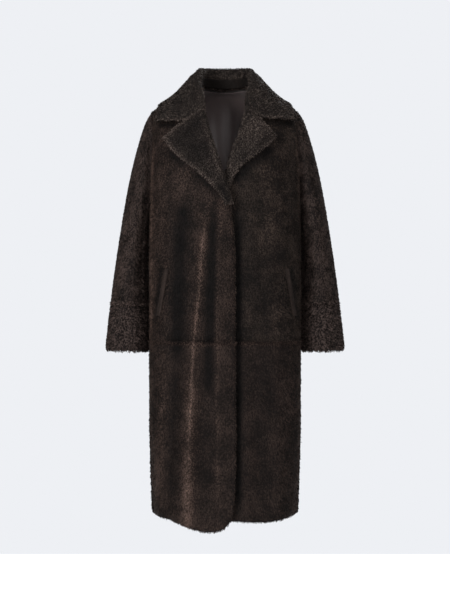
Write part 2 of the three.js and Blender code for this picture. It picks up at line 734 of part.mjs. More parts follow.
// Rings of a whole sleeve with its cuff, as one wall
function sleeveWall(key, armhole) {
  const turns = armhole.map((_, k) => (2 * Math.PI * k) / armhole.length);
  const lastRow = SLEEVE.length - 1;
  const centre = (row) => ringPoint(row, 0).add(ringPoint(row, Math.PI)).multiplyScalar(0.5);
  const rings = SLEEVE_RINGS.map((row) => {
    const keep = Math.pow(Math.max(0, 1 - row / ARMHOLE_REACH), ARMHOLE_FADE);
    return turns.map((turn, k) => {
      const own = armhole[k].outer.clone().sub(ringPoint(0, turn)).multiplyScalar(keep);
      const point = ringPoint(row, turn).add(own);
      const outwards = point.clone().sub(centre(row)).normalize();
      return keepClear(point.addScaledVector(outwards, sleeveRelief(row, turn)), key);
    });
  });
  const roll = armhole.map((first, k) => rollPoint(first, rings[1][k]));
  const outer = [armhole.map((first) => first.outer.clone()), roll.map((p) => p.outer), ...rings];
  const normals = gridNormals(outer, true);
  const outwards = rings[rings.length - 1][0].clone().sub(centre(lastRow));
  const facing = Math.sign(normals[outer.length - 1][0].dot(outwards));
  const start = outer.length - rings.length;
  const under = rings.map((ring, j) =>
    ring.map((p, k) => p.clone().addScaledVector(normals[start + j][k], -facing * WALL)),
  );
  const inner = [armhole.map((first) => first.inner.clone()), roll.map((p) => p.inner), ...under];
  return { outer, inner, seam: start + SLEEVE_RINGS.indexOf(CUFF_SEAM_ROW) };
}

function sleevePieces(key, side, frontArmhole, backArmhole) {
  [0, ARMHOLE_ROWS].forEach((k) => {
    frontArmhole[k].onward.add(backArmhole[k].onward).normalize();
  });
  const loop = frontArmhole.concat(backArmhole.slice(1, -1).reverse());
  const wall = sleeveWall(key, loop);
  const arm = cutRows(wall, 0, wall.seam);
  const cuff = drawBack(cutRows(wall, wall.seam, wall.outer.length - 1), ["top"]);
  const half = (from, to) => drawBack(cutColumns(arm, from, to), ["bottom", "left", "right"]);
  const { front, back } = SLEEVE_SEAMS;
  return [
    piece(`sleeve_${key}_top`, half(back, front + loop.length), side, COLOURS.panel),
    piece(`sleeve_${key}_under`, half(front, back), side, COLOURS.panel),
    piece(`cuff_${key}`, cuff, side, COLOURS.cuff, true),
  ];
}

// Turned pieces: lapels and collar

const TURN_RADIUS = (WALL + LAYER_GAP) / 2; // middle of a lapel's wall round its fold
const COLLAR_TURN_RADIUS = 6.8; // the collar's roll is fuller
const TURN_LEAD = 0.6; // the first step round a roll is this much further on

// Angles of the steps round a roll, a little past its start
function turnAngles(headIn, headOut) {
  return Array.from({ length: TURN_STEPS + 1 }, (_, m) => {
    const share = (m + TURN_LEAD) / (TURN_STEPS + TURN_LEAD);
    return THREE.MathUtils.lerp(headIn, headOut, share);
  });
}

// One section of a piece turned out over a front at a place on its edge. The first point
// meets the front's edge, the turn lies past it, and the rest lies on the front.
function turnedSection(face, start, towards, path, lifts) {
  const here = bodyPoint(face, start.a, start.s);
  const normal = bodyNormal(face, start.a, start.s);
  const out = here.clone().sub(towards);
  out.addScaledVector(normal, -out.dot(normal)).normalize();
  here.addScaledVector(out, SEAM / 2);
  const middle = here.clone().addScaledVector(normal, LAYER_GAP / 2);
  const round = (radius, angle) =>
    middle
      .clone()
      .addScaledVector(out, radius * Math.sin(angle))
      .addScaledVector(normal, -radius * Math.cos(angle));
  const angles = [0, ...turnAngles(0, Math.PI)];
  const outer = angles.map((angle) => round(TURN_RADIUS + WALL / 2, angle));
  const inner = angles.map((angle) => round(TURN_RADIUS - WALL / 2, angle));
  path.forEach((place, k) => {
    const up = bodyNormal(face, place.a, place.s);
    const at = bodyPoint(face, place.a, place.s);
    outer.push(at.clone().addScaledVector(up, LAYER_GAP + WALL + lifts[k]));
    inner.push(at.clone().addScaledVector(up, LAYER_GAP + lifts[k]));
  });
  return { outer, inner };
}

// Places from one place to the next, with as many steps as asked, leaving out the first
function pathThrough(face, places, steps) {
  return places.slice(1).flatMap((to, part) =>
    Array.from({ length: steps[part] }, (_, k) => {
      const share = (k + 1) / steps[part];
      const w = THREE.MathUtils.lerp(places[part].w, to.w, share);
      const z = THREE.MathUtils.lerp(places[part].z, to.z, share);
      return bodyPlace(face, w, z);
    }),
  );
}

const GORGE_STEPS = [3, LEAF_STEPS - 3];
const LAPEL_LIFTS = [0, 0.5, 1.2, 2.2, 3.4, 4.6];
const COLLAR_LIFTS = [0, 0.5, 1.2, 2.5, 4, 5];

function wzOf(face, place) {
  const p = bodyPoint({ ...face, folds: [], lap: 0 }, place.a, place.s);
  return { w: p.x, z: p.z };
}

function lapelWall(key, shape, front) {
  const face = FACES[key];
  const edge = new THREE.SplineCurve(shape.free.map((p) => new THREE.Vector2(p.w, p.z)));
  const sections = front.roll.map((place, j) => {
    const from = wzOf(face, place);
    const corner = edge.getPointAt(j / LAPEL_ROWS);
    const tip = { w: corner.x, z: corner.y };
    const bend = j === 0 ? shape.notch : { w: (from.w + tip.w) / 2, z: (from.z + tip.z) / 2 };
    const path = pathThrough(face, [from, bend, tip], GORGE_STEPS);
    const towards = front.wall.outer[NECK_ROWS + j][1];
    const lifts = LAPEL_LIFTS.map((lift) => lift * (1 - j / LAPEL_ROWS));
    return turnedSection(face, place, towards, path, lifts);
  });
  const wall = { outer: sections.map((s) => s.outer), inner: sections.map((s) => s.inner) };
  return drawBack(wall, ["top"]);
}

// Place on the neck seam on the collar's scale, with the ways out of and up from the neck
function neckAt(at) {
  const upright = new THREE.Vector3(0, 0, 1);
  if (at <= NECK_TURN_AT) {
    const turn = (at / NECK_TURN_AT) * QUARTER;
    const w = NECK_W * Math.sin(turn);
    const top = topEdge(FACES.back, w);
    return {
      point: new THREE.Vector3(w, top.y, top.z),
      out: new THREE.Vector3(Math.sin(turn), Math.cos(turn), 0),
      up: upright,
    };
  }
  const share = (at - NECK_TURN_AT) / (1 - NECK_TURN_AT);
  const edge = frontNeck(FACES.left);
  const a = THREE.MathUtils.lerp(edge[0].a, edge[NECK_ROWS].a, share);
  const s = THREE.MathUtils.lerp(edge[0].s, edge[NECK_ROWS].s, share);
  const up = upright.lerp(bodyNormal(FACES.left, a, s), smooth(share / NECK_TILT)).normalize();
  const out = new THREE.Vector3(1, 0, 0);
  out.addScaledVector(up, -out.dot(up)).normalize();
  return { point: bodyPoint(FACES.left, a, s), out, up };
}

// Height of the shoulders over a place in plan
function shoulderTop(w, y) {
  const face = y < SHOULDER_Y ? FACES.left : FACES.back;
  const section = sectionAt(CHEST_Z);
  const turn = Math.min(1, Math.abs(w) / section.half);
  const full = Math.pow(1 - Math.pow(turn, face.round), 1 / face.round);
  const reach = section.sideY + (section[face.reach] - section.sideY) * full;
  const top = topEdge(face, w);
  const share = THREE.MathUtils.clamp((y - top.y) / (reach - top.y), 0, 1);
  const kept = Math.pow(1 - Math.pow(share, face.slope), 1 / face.slope);
  return CHEST_Z + (top.z - CHEST_Z) * kept;
}

// Lift a point until it is a distance clear of the shoulders
function liftClear(point, distance) {
  const height = shoulderTop(point.x, point.y);
  const slopeW = (shoulderTop(point.x + SLOPE_STEP, point.y) - height) / SLOPE_STEP;
  const slopeY = (shoulderTop(point.x, point.y + SLOPE_STEP) - height) / SLOPE_STEP;
  const up = new THREE.Vector3(-slopeW, -slopeY, 1).normalize();
  const clear = (point.z - height) * up.z;
  return clear < distance ? point.addScaledVector(up, distance - clear) : point;
}

// Middle line of one section of the collar, from the stand over the roll to the leaf's edge
function collarSection(at) {
  const value = (column) => lookUp(COLLAR, "at", column, at);
  const corner = (name) =>
    new THREE.Vector3(...["W", "Y", "Z"].map((axis) => lookUp(LEAF, "at", name + axis, at)));
  const neck = neckAt(at);
  const headIn = radians(value("headIn"));
  const headOut = radians(value("headOut"));
  const heading = (angle) =>
    neck.out.clone().multiplyScalar(Math.cos(angle)).addScaledVector(neck.up, Math.sin(angle));
  const lean = headIn / QUARTER - 1;
  const start = neck.point
    .clone()
    .addScaledVector(neck.out, (WALL / 2) * Math.max(0, 1 - 2 * lean))
    .addScaledVector(neck.up, value("stand") - (WALL / 2) * Math.max(0, 2 * lean - 1))
    .addScaledVector(heading(headIn), STAND_GAP);
  const turnStart = start.clone().addScaledVector(heading(headIn), value("rise"));
  const middle = turnStart.clone().addScaledVector(heading(headIn - QUARTER), COLLAR_TURN_RADIUS);
  const points = [start];
  turnAngles(headIn, headOut).forEach((angle) => {
    points.push(middle.clone().addScaledVector(heading(angle + QUARTER), COLLAR_TURN_RADIUS));
  });
  const last = points.slice(-2);
  const course = [last[0], last[1], corner("mid"), corner("edge")];
  const leaf = new THREE.CatmullRomCurve3(course, false, "centripetal");
  for (let k = 1; k <= LEAF_STEPS; k += 1) {
    points.push(liftClear(leaf.getPoint((1 + (2 * k) / LEAF_STEPS) / 3), WALL / 2 + LAYER_GAP));
  }
  return points;
}

// Last section of the collar, along the gorge and out to the corner of its leaf
function gorgeSection(key, front, shape) {
  const face = FACES[key];
  const path = pathThrough(face, [wzOf(face, front.roll[0]), shape.notch, COLLAR_CORNER[key]], GORGE_STEPS);
  const towards = front.wall.outer[NECK_ROWS][1];
  return turnedSection(face, front.roll[0], towards, path, COLLAR_LIFTS);
}

function collarWall(rightEnd, leftEnd) {
  const half = COLLAR_STATIONS.map(collarSection);
  const turned = (points) => points.map((p) => new THREE.Vector3(-p.x, p.y, p.z));
  const middle = [...half.slice(1).reverse().map(turned), ...half];
  const normals = gridNormals(middle, false);
  const crest = normals[COLLAR_STATIONS.length - 1][ROLL_POINT];
  const facing = Math.sign(crest.z);
  const layer = (distance) =>
    middle.map((row, j) => row.map((p, i) => p.clone().addScaledVector(normals[j][i], facing * distance)));
  const outer = layer(WALL / 2);
  const inner = layer(-WALL / 2);
  outer.unshift(turned(rightEnd.outer));
  inner.unshift(turned(rightEnd.inner));
  outer.push(leftEnd.outer);
  inner.push(leftEnd.inner);
  return drawBack({ outer, inner }, ["top", "bottom"]);
}

// The dark band inside the neck, on the neck seam and under the roll
function standWall() {
  const station = (at) => {
    const neck = neckAt(at);
    const height = lookUp(COLLAR, "at", "stand", at);
    const post = (distance) => {
      const base = neck.point.clone().addScaledVector(neck.out, distance);
      const sunk = Math.max(0, shoulderTop(base.x, base.y) - base.z);
      const foot = sunk * neck.up.z + STAND_GAP;
      const top = Math.max(height, foot + STAND_LEAST);
      return Array.from({ length: STAND_CELLS + 1 }, (_, k) =>
        base.clone().addScaledVector(neck.up, THREE.MathUtils.lerp(foot, top, k / STAND_CELLS)),
      );
    };
    return { outer: post(WALL - SEAM), inner: post(0) };
  };
  const half = STAND_STATIONS.map(station);
  const turned = (s) => ({
    outer: s.outer.map((p) => new THREE.Vector3(-p.x, p.y, p.z)),
    inner: s.inner.map((p) => new THREE.Vector3(-p.x, p.y, p.z)),
  });
  const all = [...half.slice(1).reverse().map(turned), ...half];
  return { outer: all.map((s) => s.outer), inner: all.map((s) => s.inner) };
}

// A pocket lip, lying on its front
function weltWall(key) {
  const face = FACES[key];
  const pocket = POCKET[key];
  const { along, across } = WELT_CELLS;
  const places = Array.from({ length: along + 1 }, (_, j) =>
    Array.from({ length: across + 1 }, (__, i) => {
      const w = THREE.MathUtils.lerp(pocket.topW, pocket.endW, j / along);
      const z = THREE.MathUtils.lerp(pocket.topZ, pocket.endZ, j / along);
      return bodyPlace(face, w + (i / across - 0.5) * WELT_WIDTH, z);
    }),
  );
  return bodyWall(face, places, -(WELT_WALL + WELT_GAP), WELT_WALL);
}

function buildCoat() {
  const coat = new THREE.Group();
  const sides = { right: -1, left: 1 };
  const lapels = { right: RIGHT_LAPEL, left: LEFT_LAPEL };
  const back = backUpper();
  const ends = {};
  coat.add(piece("back_right_upper", back.halves.right, 1, COLOURS.panel));
  coat.add(piece("back_left_upper", back.halves.left, 1, COLOURS.panel));
  coat.add(piece("back_lower", backLower(), 1, COLOURS.lower));
  coat.add(piece("lining_back", liningWall(back.places), 1, COLOURS.lining));
  Object.entries(sides).forEach(([key, side]) => {
    const front = frontUpper(key);
    coat.add(piece(`front_${key}_upper`, front.wall, side, COLOURS.panel));
    coat.add(piece(`front_${key}_lower`, frontLower(key), side, COLOURS.lower));
    coat.add(piece(`lapel_${key}`, lapelWall(key, lapels[key], front), side, COLOURS.collar));
    coat.add(piece(`pocket_welt_${key}`, weltWall(key), side, COLOURS.welt));
    const ownSide = (v) => new THREE.Vector3(side * v.x, v.y, v.z);
    const backArmhole = back.armholes[key].map(({ outer, inner, onward }) => ({
      outer: ownSide(outer),
      inner: ownSide(inner),
      onward: ownSide(onward),
    }));
    sleevePieces(key, side, front.armhole, backArmhole).forEach((mesh) => coat.add(mesh));
    ends[key] = gorgeSection(key, front, lapels[key]);
  });
  coat.add(piece("collar", collarWall(ends.right, ends.left), 1, COLOURS.collar));
  coat.add(piece("collar_stand", standWall(), 1, COLOURS.stand));
  return coat;
}

export default buildCoat();
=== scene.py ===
import math
from collections import namedtuple

import bmesh
import bpy
import numpy as np
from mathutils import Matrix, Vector
from mathutils.bvhtree import BVHTree
from mathutils.kdtree import KDTree


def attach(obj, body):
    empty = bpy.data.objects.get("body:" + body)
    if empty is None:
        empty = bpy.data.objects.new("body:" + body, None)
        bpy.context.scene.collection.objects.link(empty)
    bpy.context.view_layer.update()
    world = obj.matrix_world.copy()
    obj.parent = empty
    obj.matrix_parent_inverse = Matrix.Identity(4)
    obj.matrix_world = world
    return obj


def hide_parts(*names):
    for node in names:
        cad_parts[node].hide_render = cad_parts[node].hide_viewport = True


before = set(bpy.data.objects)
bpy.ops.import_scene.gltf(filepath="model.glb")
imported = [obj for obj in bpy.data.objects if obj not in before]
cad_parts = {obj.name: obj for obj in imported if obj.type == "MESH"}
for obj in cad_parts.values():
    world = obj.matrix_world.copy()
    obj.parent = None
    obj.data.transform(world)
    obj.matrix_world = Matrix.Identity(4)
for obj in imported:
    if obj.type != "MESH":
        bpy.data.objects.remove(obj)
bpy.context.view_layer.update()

MM = 0.001

# Camera, at the photograph's place
EYE = (0, -4.0, -0.556)
LENS = 90.57
SENSOR = 36

# Studio, in metres and watts
Lamp = namedtuple("Lamp", "name place aim size power")
LAMPS = [
    Lamp("key_panel", (-1.9, -2.6, 0.7), (0, 0, -0.5), 1.3, 92),
    Lamp("front_panel", (0.5, -4.4, 0.1), (0, 0, -0.4), 1.2, 38),
    Lamp("fill_panel", (2.4, -2.2, -0.3), (0, 0, -0.6), 1.6, 24),
    Lamp("top_panel", (0, -0.4, 2.2), (0, 0, 0), 1.6, 26),
    Lamp("back_panel", (1.2, 3.0, 1.9), (0, 0.1, -0.5), 1.2, 46),
]
AIR_COLOUR = (0.855, 0.871, 0.905, 1)
AMBIENT = 0.5
FLOOR_COLOUR = (0.86, 0.87, 0.89, 1)
FLOOR_GLOW = 0.3
FLOOR_REACH = 1.31
FLOOR_LEVEL = -1.45

# Thickness of the walls, and depth and thickness of the sheets set in under their faces, in metres
WALL = 0.008
SKIN_DEPTH = {"body": 0.0018, "sleeve": 0.0016, "under": 0.0002, "cuff": 0.0024}
SKIN_THICK = 0.0034
COLLAR_DEPTH = 0.0020
COLLAR_THICK = 0.0030
STAND_DEPTH = 0.001
STAND_THICK = 0.001
WELT_WALL = 0.0025
WELT_DEPTH = 0.0014
WELT_THICK = 0.0010
LINING_WALL = 0.0015
LINING_DEPTH = 0.0002
LINING_THICK = 0.0010
RIM_WIDTH = 0.010
RIM_RISE = 0.0010
ROUNDING = 2

# Middle lines of the body and of the left sleeve, and the ways that the other pieces face
CHEST = Vector((0, -0.01, -0.19))
HEM = Vector((0, -0.01, -1.12))
SHOULDER = Vector((0.17, 0, -0.19))
WRIST = Vector((0.27, 0.02, -0.69))
FRONTWARD = Vector((0, -1, 0))
COLLAR_OUTWARD = Vector((0, -0.3, 1))

# How the side of a wall is told from its edges
MERGE = 1e-5
RAY_START = MERGE * 3
WALL_SLACK = 1.5
WALL_TURN = math.radians(86)
SEAM_REACH = 0.0008
JOIN_FACES = math.radians(40)
JOIN_SHAPES = math.radians(60)

# Locks of the pile, in metres, radians and shares, and the most of them on a square metre
TUFT_WIDTH = 0.0024
TUFT_LENGTH = 0.0066
TUFT_STEPS = 2
TUFT_TAPER = 0.25
TUFT_TURN = math.radians(58)
TUFT_REACH = 0.8
TUFT_DROP = 0.8
TUFT_END = 0.99
TUFT_SIZES = (0.75, 1.2)
TUFTS_MOST = 600000
NAP = (0, 0, -1)
STRAY = 0.45
TIP_SHARE = 0.55
SHADE_SHARE = 0.35
NORMAL_LEAST = 1e-6
SEEDS = {"size": 3, "stray": 5, "spin": 9, "shade": 11}

# Tones of the smooth cloth beside its own colour
SATIN_DARK = 0.82
SATIN_LIGHT = 1.2

# How creases and streaks of painted light fade, the depth that parts the front from the back, and the lowest
# painted light value
END_FADE = 0.18
SIDE_SPLIT = 0.004
PAINTED_LIGHT_AND_WEAR_LEAST = -0.85

# Panels, sleeves and cuffs: size of the cut in metres, spacing of the locks in millimetres

Part = namedtuple("Part", "node slot width length area line spacing hair depth")
PARTS = [
    Part("back_right_upper", "panel_fur", 0.30, 0.69, 0.171, "body", 2.35, "panel", "body"),
    Part("back_left_upper", "panel_fur", 0.30, 0.69, 0.171, "body", 2.35, "panel", "body"),
    Part("back_lower", "lower_fur", 0.56, 0.47, 0.250, "body", 2.35, "smooth", "body"),
    Part("front_right_upper", "panel_fur", 0.31, 0.67, 0.160, "body", 2.1, "panel", "body"),
    Part("front_left_upper", "panel_fur", 0.31, 0.67, 0.1605, "body", 2.1, "dusk", "body"),
    Part("front_right_lower", "lower_fur", 0.30, 0.49, 0.136, "body", 2.1, "smooth", "body"),
    Part("front_left_lower", "lower_fur", 0.29, 0.47, 0.131, "body", 2.1, "smooth", "body"),
    Part("sleeve_right_top", "sleeve_fur", 0.27, 0.50, 0.0996, "right", 2.15, "sleeve", "sleeve"),
    Part("sleeve_left_top", "sleeve_fur", 0.27, 0.50, 0.0996, "left", 2.15, "sleeve", "sleeve"),
    Part("sleeve_right_under", "sleeve_fur", 0.115, 0.31, 0.0326, "right", 2.15, "sleeve", "under"),
    Part("sleeve_left_under", "sleeve_fur", 0.115, 0.31, 0.0326, "left", 2.15, "sleeve", "under"),
    Part("cuff_right", "cuff_fur", 0.37, 0.125, 0.0446, "right", 2.1, "curly", "cuff"),
    Part("cuff_left", "cuff_fur", 0.37, 0.125, 0.0446, "left", 2.1, "curly", "cuff"),
]
SEWN = [part.node for part in PARTS]

Lapel = namedtuple("Lapel", "side area rim seed")
# Each lapel's rim value paints its edge lighter, partly wear and partly painted highlight
LAPELS = [
    Lapel("right", 0.0193, 2.1, 46),
    Lapel("left", 0.0135, 1.0, 45),
]

# Creases and streaks: each runs through its points, in millimetres of x and z, on the
# pieces whose names start with its last column

Crease = namedtuple("Crease", "side points height width on", defaults=[""])
# A streak's tone paints a highlight where it is above nought and shade where it is below
Streak = namedtuple("Streak", "side points tone width on", defaults=[""])


def mirrored(points, height, width, on=""):
    """The same crease on the coat's right and left, front and back, given by its points on the left."""
    rows = []
    for side in ("front", "back"):
        for hand in (-1, 1):
            rows.append(Crease(side, [(x * hand, z) for x, z in points], height, width, on))
    return rows


CREASES = [
    Crease("front", [(-38, -262), (-56, -403), (-66, -556), (-79, -672), (-85, -812), (-92, -940),
                     (-98, -1130)], 4.0, 6),
    Crease("front", [(-84, -740), (-90, -940), (-96, -1130)], 3.0, 14),
    Crease("front", [(-60, -300), (-84, -420), (-112, -560)], -1.8, 14),
    Crease("front", [(-118, -420), (-128, -640)], -2.2, 13),
    Crease("front", [(-150, -270), (-140, -420), (-152, -470)], 2.0, 10),
    Crease("front", [(-52, -700), (-60, -880), (-54, -1090)], -2.4, 15),
    Crease("front", [(-140, -700), (-150, -900), (-160, -1080)], 2.4, 13),
    Crease("front", [(62, -330), (74, -460), (70, -600)], 2.2, 15),
    Crease("front", [(104, -250), (122, -400), (118, -540)], 1.9, 17),
    Crease("front", [(150, -180), (168, -360), (176, -560)], -2.6, 9),
    Crease("front", [(90, -610), (128, -566), (160, -540)], -1.6, 12),
    Crease("front", [(48, -700), (56, -900), (62, -1090)], 2.2, 18),
    Crease("front", [(110, -700), (126, -880), (134, -1080)], -2.4, 15),
    Crease("front", [(-186, -96), (-196, -170), (-212, -230)], -2.4, 9),
    Crease("front", [(-214, -250), (-240, -330), (-262, -372)], 2.0, 9),
    Crease("front", [(-206, -380), (-236, -430), (-270, -452)], -2.2, 10),
    Crease("front", [(-210, -470), (-246, -500), (-284, -510)], 1.8, 9),
    Crease("front", [(186, -90), (196, -180), (208, -250)], -2.6, 8),
    Crease("front", [(220, -230), (238, -320), (266, -390)], 2.2, 10),
    Crease("front", [(206, -360), (232, -420), (268, -470)], -2.0, 10),
    Crease("front", [(214, -500), (246, -520), (286, -516)], 1.8, 9),
    *mirrored([(204, -330), (204, -780)], 1.6, 7),
    *mirrored([(204, -480), (204, -780)], 1.4, 10, "cuff"),
    *mirrored([(120, -30), (250, -80)], 2.6, 36),
    *mirrored([(160, -692), (370, -692)], -3.0, 6, "cuff"),
    Crease("back", [(-60, -260), (-82, -450), (-90, -640)], 2.6, 14),
    Crease("back", [(36, -300), (60, -470), (66, -620)], -2.8, 12),
    Crease("back", [(118, -240), (136, -400), (140, -560)], 2.4, 17),
    Crease("back", [(-150, -300), (-130, -420), (-146, -560)], -2.2, 12),
    Crease("back", [(-120, -700), (-134, -900), (-140, -1080)], 2.6, 18),
    Crease("back", [(22, -690), (14, -880), (10, -1090)], -2.8, 15),
    Crease("back", [(92, -720), (104, -900), (112, -1060)], 2.2, 14),
    Crease("back", [(-40, -700), (-46, -900), (-60, -1060)], 1.9, 12),
    Crease("back", [(-214, -250), (-240, -330), (-266, -400)], -2.2, 10),
    Crease("back", [(-208, -400), (-240, -450), (-280, -480)], 2.0, 10),
    Crease("back", [(212, -280), (242, -350), (264, -420)], 2.2, 10),
    Crease("back", [(206, -440), (236, -480), (276, -500)], -2.0, 9),
]
SATIN_FOLDS = [
    Crease("back", [(-30, 0), (-26, -120), (-12, -240)], 2.0, 9),
    Crease("back", [(-6, -20), (-2, -240)], -1.4, 8),
    Crease("back", [(14, 0), (12, -120), (4, -240)], -1.4, 8),
    Crease("back", [(34, -10), (30, -120), (22, -220)], 1.8, 9),
]
COLLAR_FOLDS = [
    *mirrored([(212, 60), (212, -160)], -3.6, 14),
    *mirrored([(79, 96), (79, 34)], -3.6, 11),
    Crease("back", [(-70, 40), (-110, -60)], 1.6, 16),
    Crease("back", [(60, 40), (104, -60)], 1.4, 18),
    Crease("front", [(-90, 20), (-140, -90)], 1.2, 16),
    Crease("front", [(96, 20), (150, -90)], 1.2, 18),
]
# Streaks of painted light: highlights on fold ridges, edges, seams and rims, painted sheen of the pile, and
# painted shade in the valleys beside folds, in the pocket slits, under the lapels and collar and beside the
# front edge
PAINTED_LIGHT_STREAKS = [
    Streak("front", [(-46, -330), (-57, -403), (-68, -556), (-81, -672), (-87, -812), (-94, -960)], 2.4, 3.2,
           "front"),
    Streak("front", [(-50, -360), (-62, -480), (-76, -620), (-84, -740)], 0.6, 9, "front"),
    Streak("front", [(-36, -262), (-48, -340), (-60, -460), (-70, -580)], 0.5, 15, "front"),
    Streak("front", [(-84, -740), (-92, -900), (-98, -1180)], 2.7, 13, "front"),
    Streak("front", [(-28, -290), (-34, -400), (-38, -620), (-46, -840)], -0.95, 17, "front"),
    Streak("front", [(-100, -240), (-118, -450), (-122, -760)], -0.95, 23, "front"),
    Streak("front", [(-178, -230), (-184, -420), (-186, -640)], 0.3, 8, "front"),
    Streak("front", [(-184, -110), (-190, -210), (-193, -400), (-193, -720)], 1.3, 4.5, "front"),
    Streak("front", [(184, -110), (191, -210), (193, -350)], 1.3, 4, "front"),
    Streak("front", [(-90, -200), (-106, -250), (-96, -330)], 0.6, 24, "front"),
    Streak("front", [(-150, -140), (-158, -260), (-160, -400)], 0.25, 16, "front"),
    Streak("front", [(-14, -260), (-20, -640), (-18, -1120)], 0.7, 5, "front_right"),
    Streak("front", [(-120, -700), (-132, -880), (-136, -1090)], -0.6, 18, "front"),
    Streak("front", [(-150, -700), (-168, -880), (-170, -1080)], 0.5, 13, "front"),
    Streak("front", [(-48, -860), (-54, -1080)], -0.25, 18, "front"),
    Streak("front", [(10, -672), (-120, -668), (-230, -664)], 0.9, 5, "front"),
    Streak("front", [(-80, -670), (-112, -668)], 0.6, 7, "front"),
    Streak("front", [(-10, -668), (110, -668), (230, -664)], 0.7, 5, "front"),
    Streak("front", [(32, -250), (32, -420), (34, -660), (34, -1180)], -0.85, 12, "front_left"),
    Streak("front", [(90, -180), (100, -700), (96, -1240)], -0.32, 80, "front"),
    Streak("front", [(130, -540), (136, -590), (134, -660)], 0.55, 18, "front"),
    Streak("front", [(60, -320), (96, -370), (110, -450)], 0.35, 22, "front"),
    Streak("front", [(84, -190), (112, -260), (118, -360), (112, -440)], 0.5, 24, "front"),
    Streak("front", [(44, -540), (60, -600), (64, -650)], 0.4, 10, "front"),
    Streak("front", [(188, -150), (194, -300), (196, -540)], -0.35, 8, "front"),
    Streak("front", [(-161, -450), (-184, -620)], -0.7, 6, "front"),
    Streak("front", [(-149, -450), (-172, -615)], 0.9, 3.5, "front"),
    Streak("front", [(-148, -450), (-171, -615)], 0.6, 3, "pocket"),
    Streak("front", [(169, -450), (192, -618)], -0.5, 6, "front"),
    Streak("front", [(158, -456), (180, -615)], 0.5, 3.5),
    Streak("front", [(-162, -158), (-122, -197), (-80, -230), (-42, -264), (-8, -306)], -0.75, 10,
           "front_right"),
    Streak("front", [(136, -152), (96, -188), (60, -214), (36, -238), (22, -270)], -0.85, 16, "front_left"),
    Streak("front", [(-180, -101), (-100, -105)], -0.75, 8, "front_right"),
    Streak("front", [(184, -98), (84, -97)], -0.75, 8, "front_left"),
    Streak("front", [(-62, -66), (-44, -132), (-22, -197), (-8, -250)], 0.7, 8, "lapel_right"),
    Streak("front", [(57, -70), (37, -135), (19, -184), (9, -240)], 0.7, 5, "lapel_left"),
    Streak("front", [(-50, -60), (-98, -150), (-40, -210)], -0.5, 40, "lapel_right"),
    Streak("front", [(60, -90), (110, -140)], 1.1, 36, "lapel_left"),
    Streak("front", [(-30, -262), (-6, -296), (26, -340)], -1.1, 16, "lapel_right"),
    Streak("front", [(0, -270), (-8, -320), (-14, -400)], 0.8, 8, "front_right"),
    Streak("front", [(-58, 10), (-54, -80)], 0.6, 9, "collar"),
    Streak("front", [(70, -10), (120, -60)], 0.5, 18, "collar"),
    Streak("front", [(200, -80), (90, -92)], 0.7, 6, "collar"),
    Streak("front", [(-200, -86), (-100, -96)], 0.6, 6, "collar"),
    Streak("front", [(-206, -548), (-236, -546), (-262, -544)], -0.3, 9, "sleeve"),
    Streak("front", [(-180, -566), (-340, -562)], 0.5, 6),
    Streak("front", [(180, -566), (340, -562)], 0.5, 6),
    Streak("front", [(-222, -140), (-226, -260)], 0.45, 8, "sleeve"),
    Streak("front", [(-232, -300), (-262, -430), (-280, -540)], 0.3, 14, "sleeve"),
    Streak("front", [(-256, -330), (-292, -520)], 0.3, 8, "sleeve"),
    Streak("front", [(262, -300), (290, -450)], 0.2, 14, "sleeve"),
    Streak("back", [(-60, -260), (-82, -450), (-90, -640)], 0.5, 12),
    Streak("back", [(118, -240), (136, -400), (140, -560)], 0.45, 14),
    Streak("back", [(10, -300), (30, -640)], -0.35, 22),
    Streak("back", [(-120, -700), (-140, -1080)], 0.4, 20),
    Streak("back", [(92, -720), (112, -1060)], 0.35, 18),
    Streak("back", [(22, -690), (14, -880), (10, -1090)], -0.4, 16),
    Streak("back", [(-30, -120), (40, -180)], 0.2, 40),
    Streak("back", [(-190, -664), (0, -664), (190, -664)], 0.22, 4),
]


# Node helpers

def add_node(tree, kind, **values):
    """Add a node and set its fields."""
    node = tree.nodes.new(kind)
    for key, value in values.items():
        setattr(node, key, value)
    return node


def set_inputs(node, **values):
    """Set a node's inputs by name, with underscores for spaces."""
    for key, value in values.items():
        node.inputs[key.replace("_", " ")].default_value = value


def feed(tree, socket, value):
    """Link an input to another node's output, or set it to a plain value."""
    if isinstance(value, bpy.types.NodeSocket):
        tree.links.new(value, socket)
    else:
        socket.default_value = value


def number_math(tree, operation, *values):
    """The result of an operation on numbers."""
    node = add_node(tree, "ShaderNodeMath", operation=operation)
    for socket, value in zip(node.inputs, values):
        feed(tree, socket, value)
    return node.outputs[0]


def vector_math(tree, operation, first, second=(0, 0, 0)):
    """The result of an operation on vectors."""
    node = add_node(tree, "ShaderNodeVectorMath", operation=operation)
    feed(tree, node.inputs[0], first)
    feed(tree, node.inputs["Scale" if operation == "SCALE" else 1], second)
    return node.outputs[0]


def random_number(tree, seed, low=0.0, high=1.0):
    """A random number for each point, from low to high."""
    node = add_node(tree, "FunctionNodeRandomValue", data_type="FLOAT")
    set_inputs(node, Seed=seed)
    feed(tree, node.inputs[2], low)
    feed(tree, node.inputs[3], high)
    return node.outputs[1]


def store(tree, name, geometry, value, **fields):
    """Keep a value on a geometry under a name; gives the geometry."""
    node = add_node(tree, "GeometryNodeStoreNamedAttribute", **fields)
    set_inputs(node, Name=name)
    tree.links.new(geometry, node.inputs["Geometry"])
    tree.links.new(value, node.inputs["Value"])
    return node.outputs["Geometry"]


def attribute(tree, name):
    """A stored value of the mesh, read in its material."""
    return add_node(tree, "ShaderNodeAttribute", attribute_name=name).outputs["Fac"]


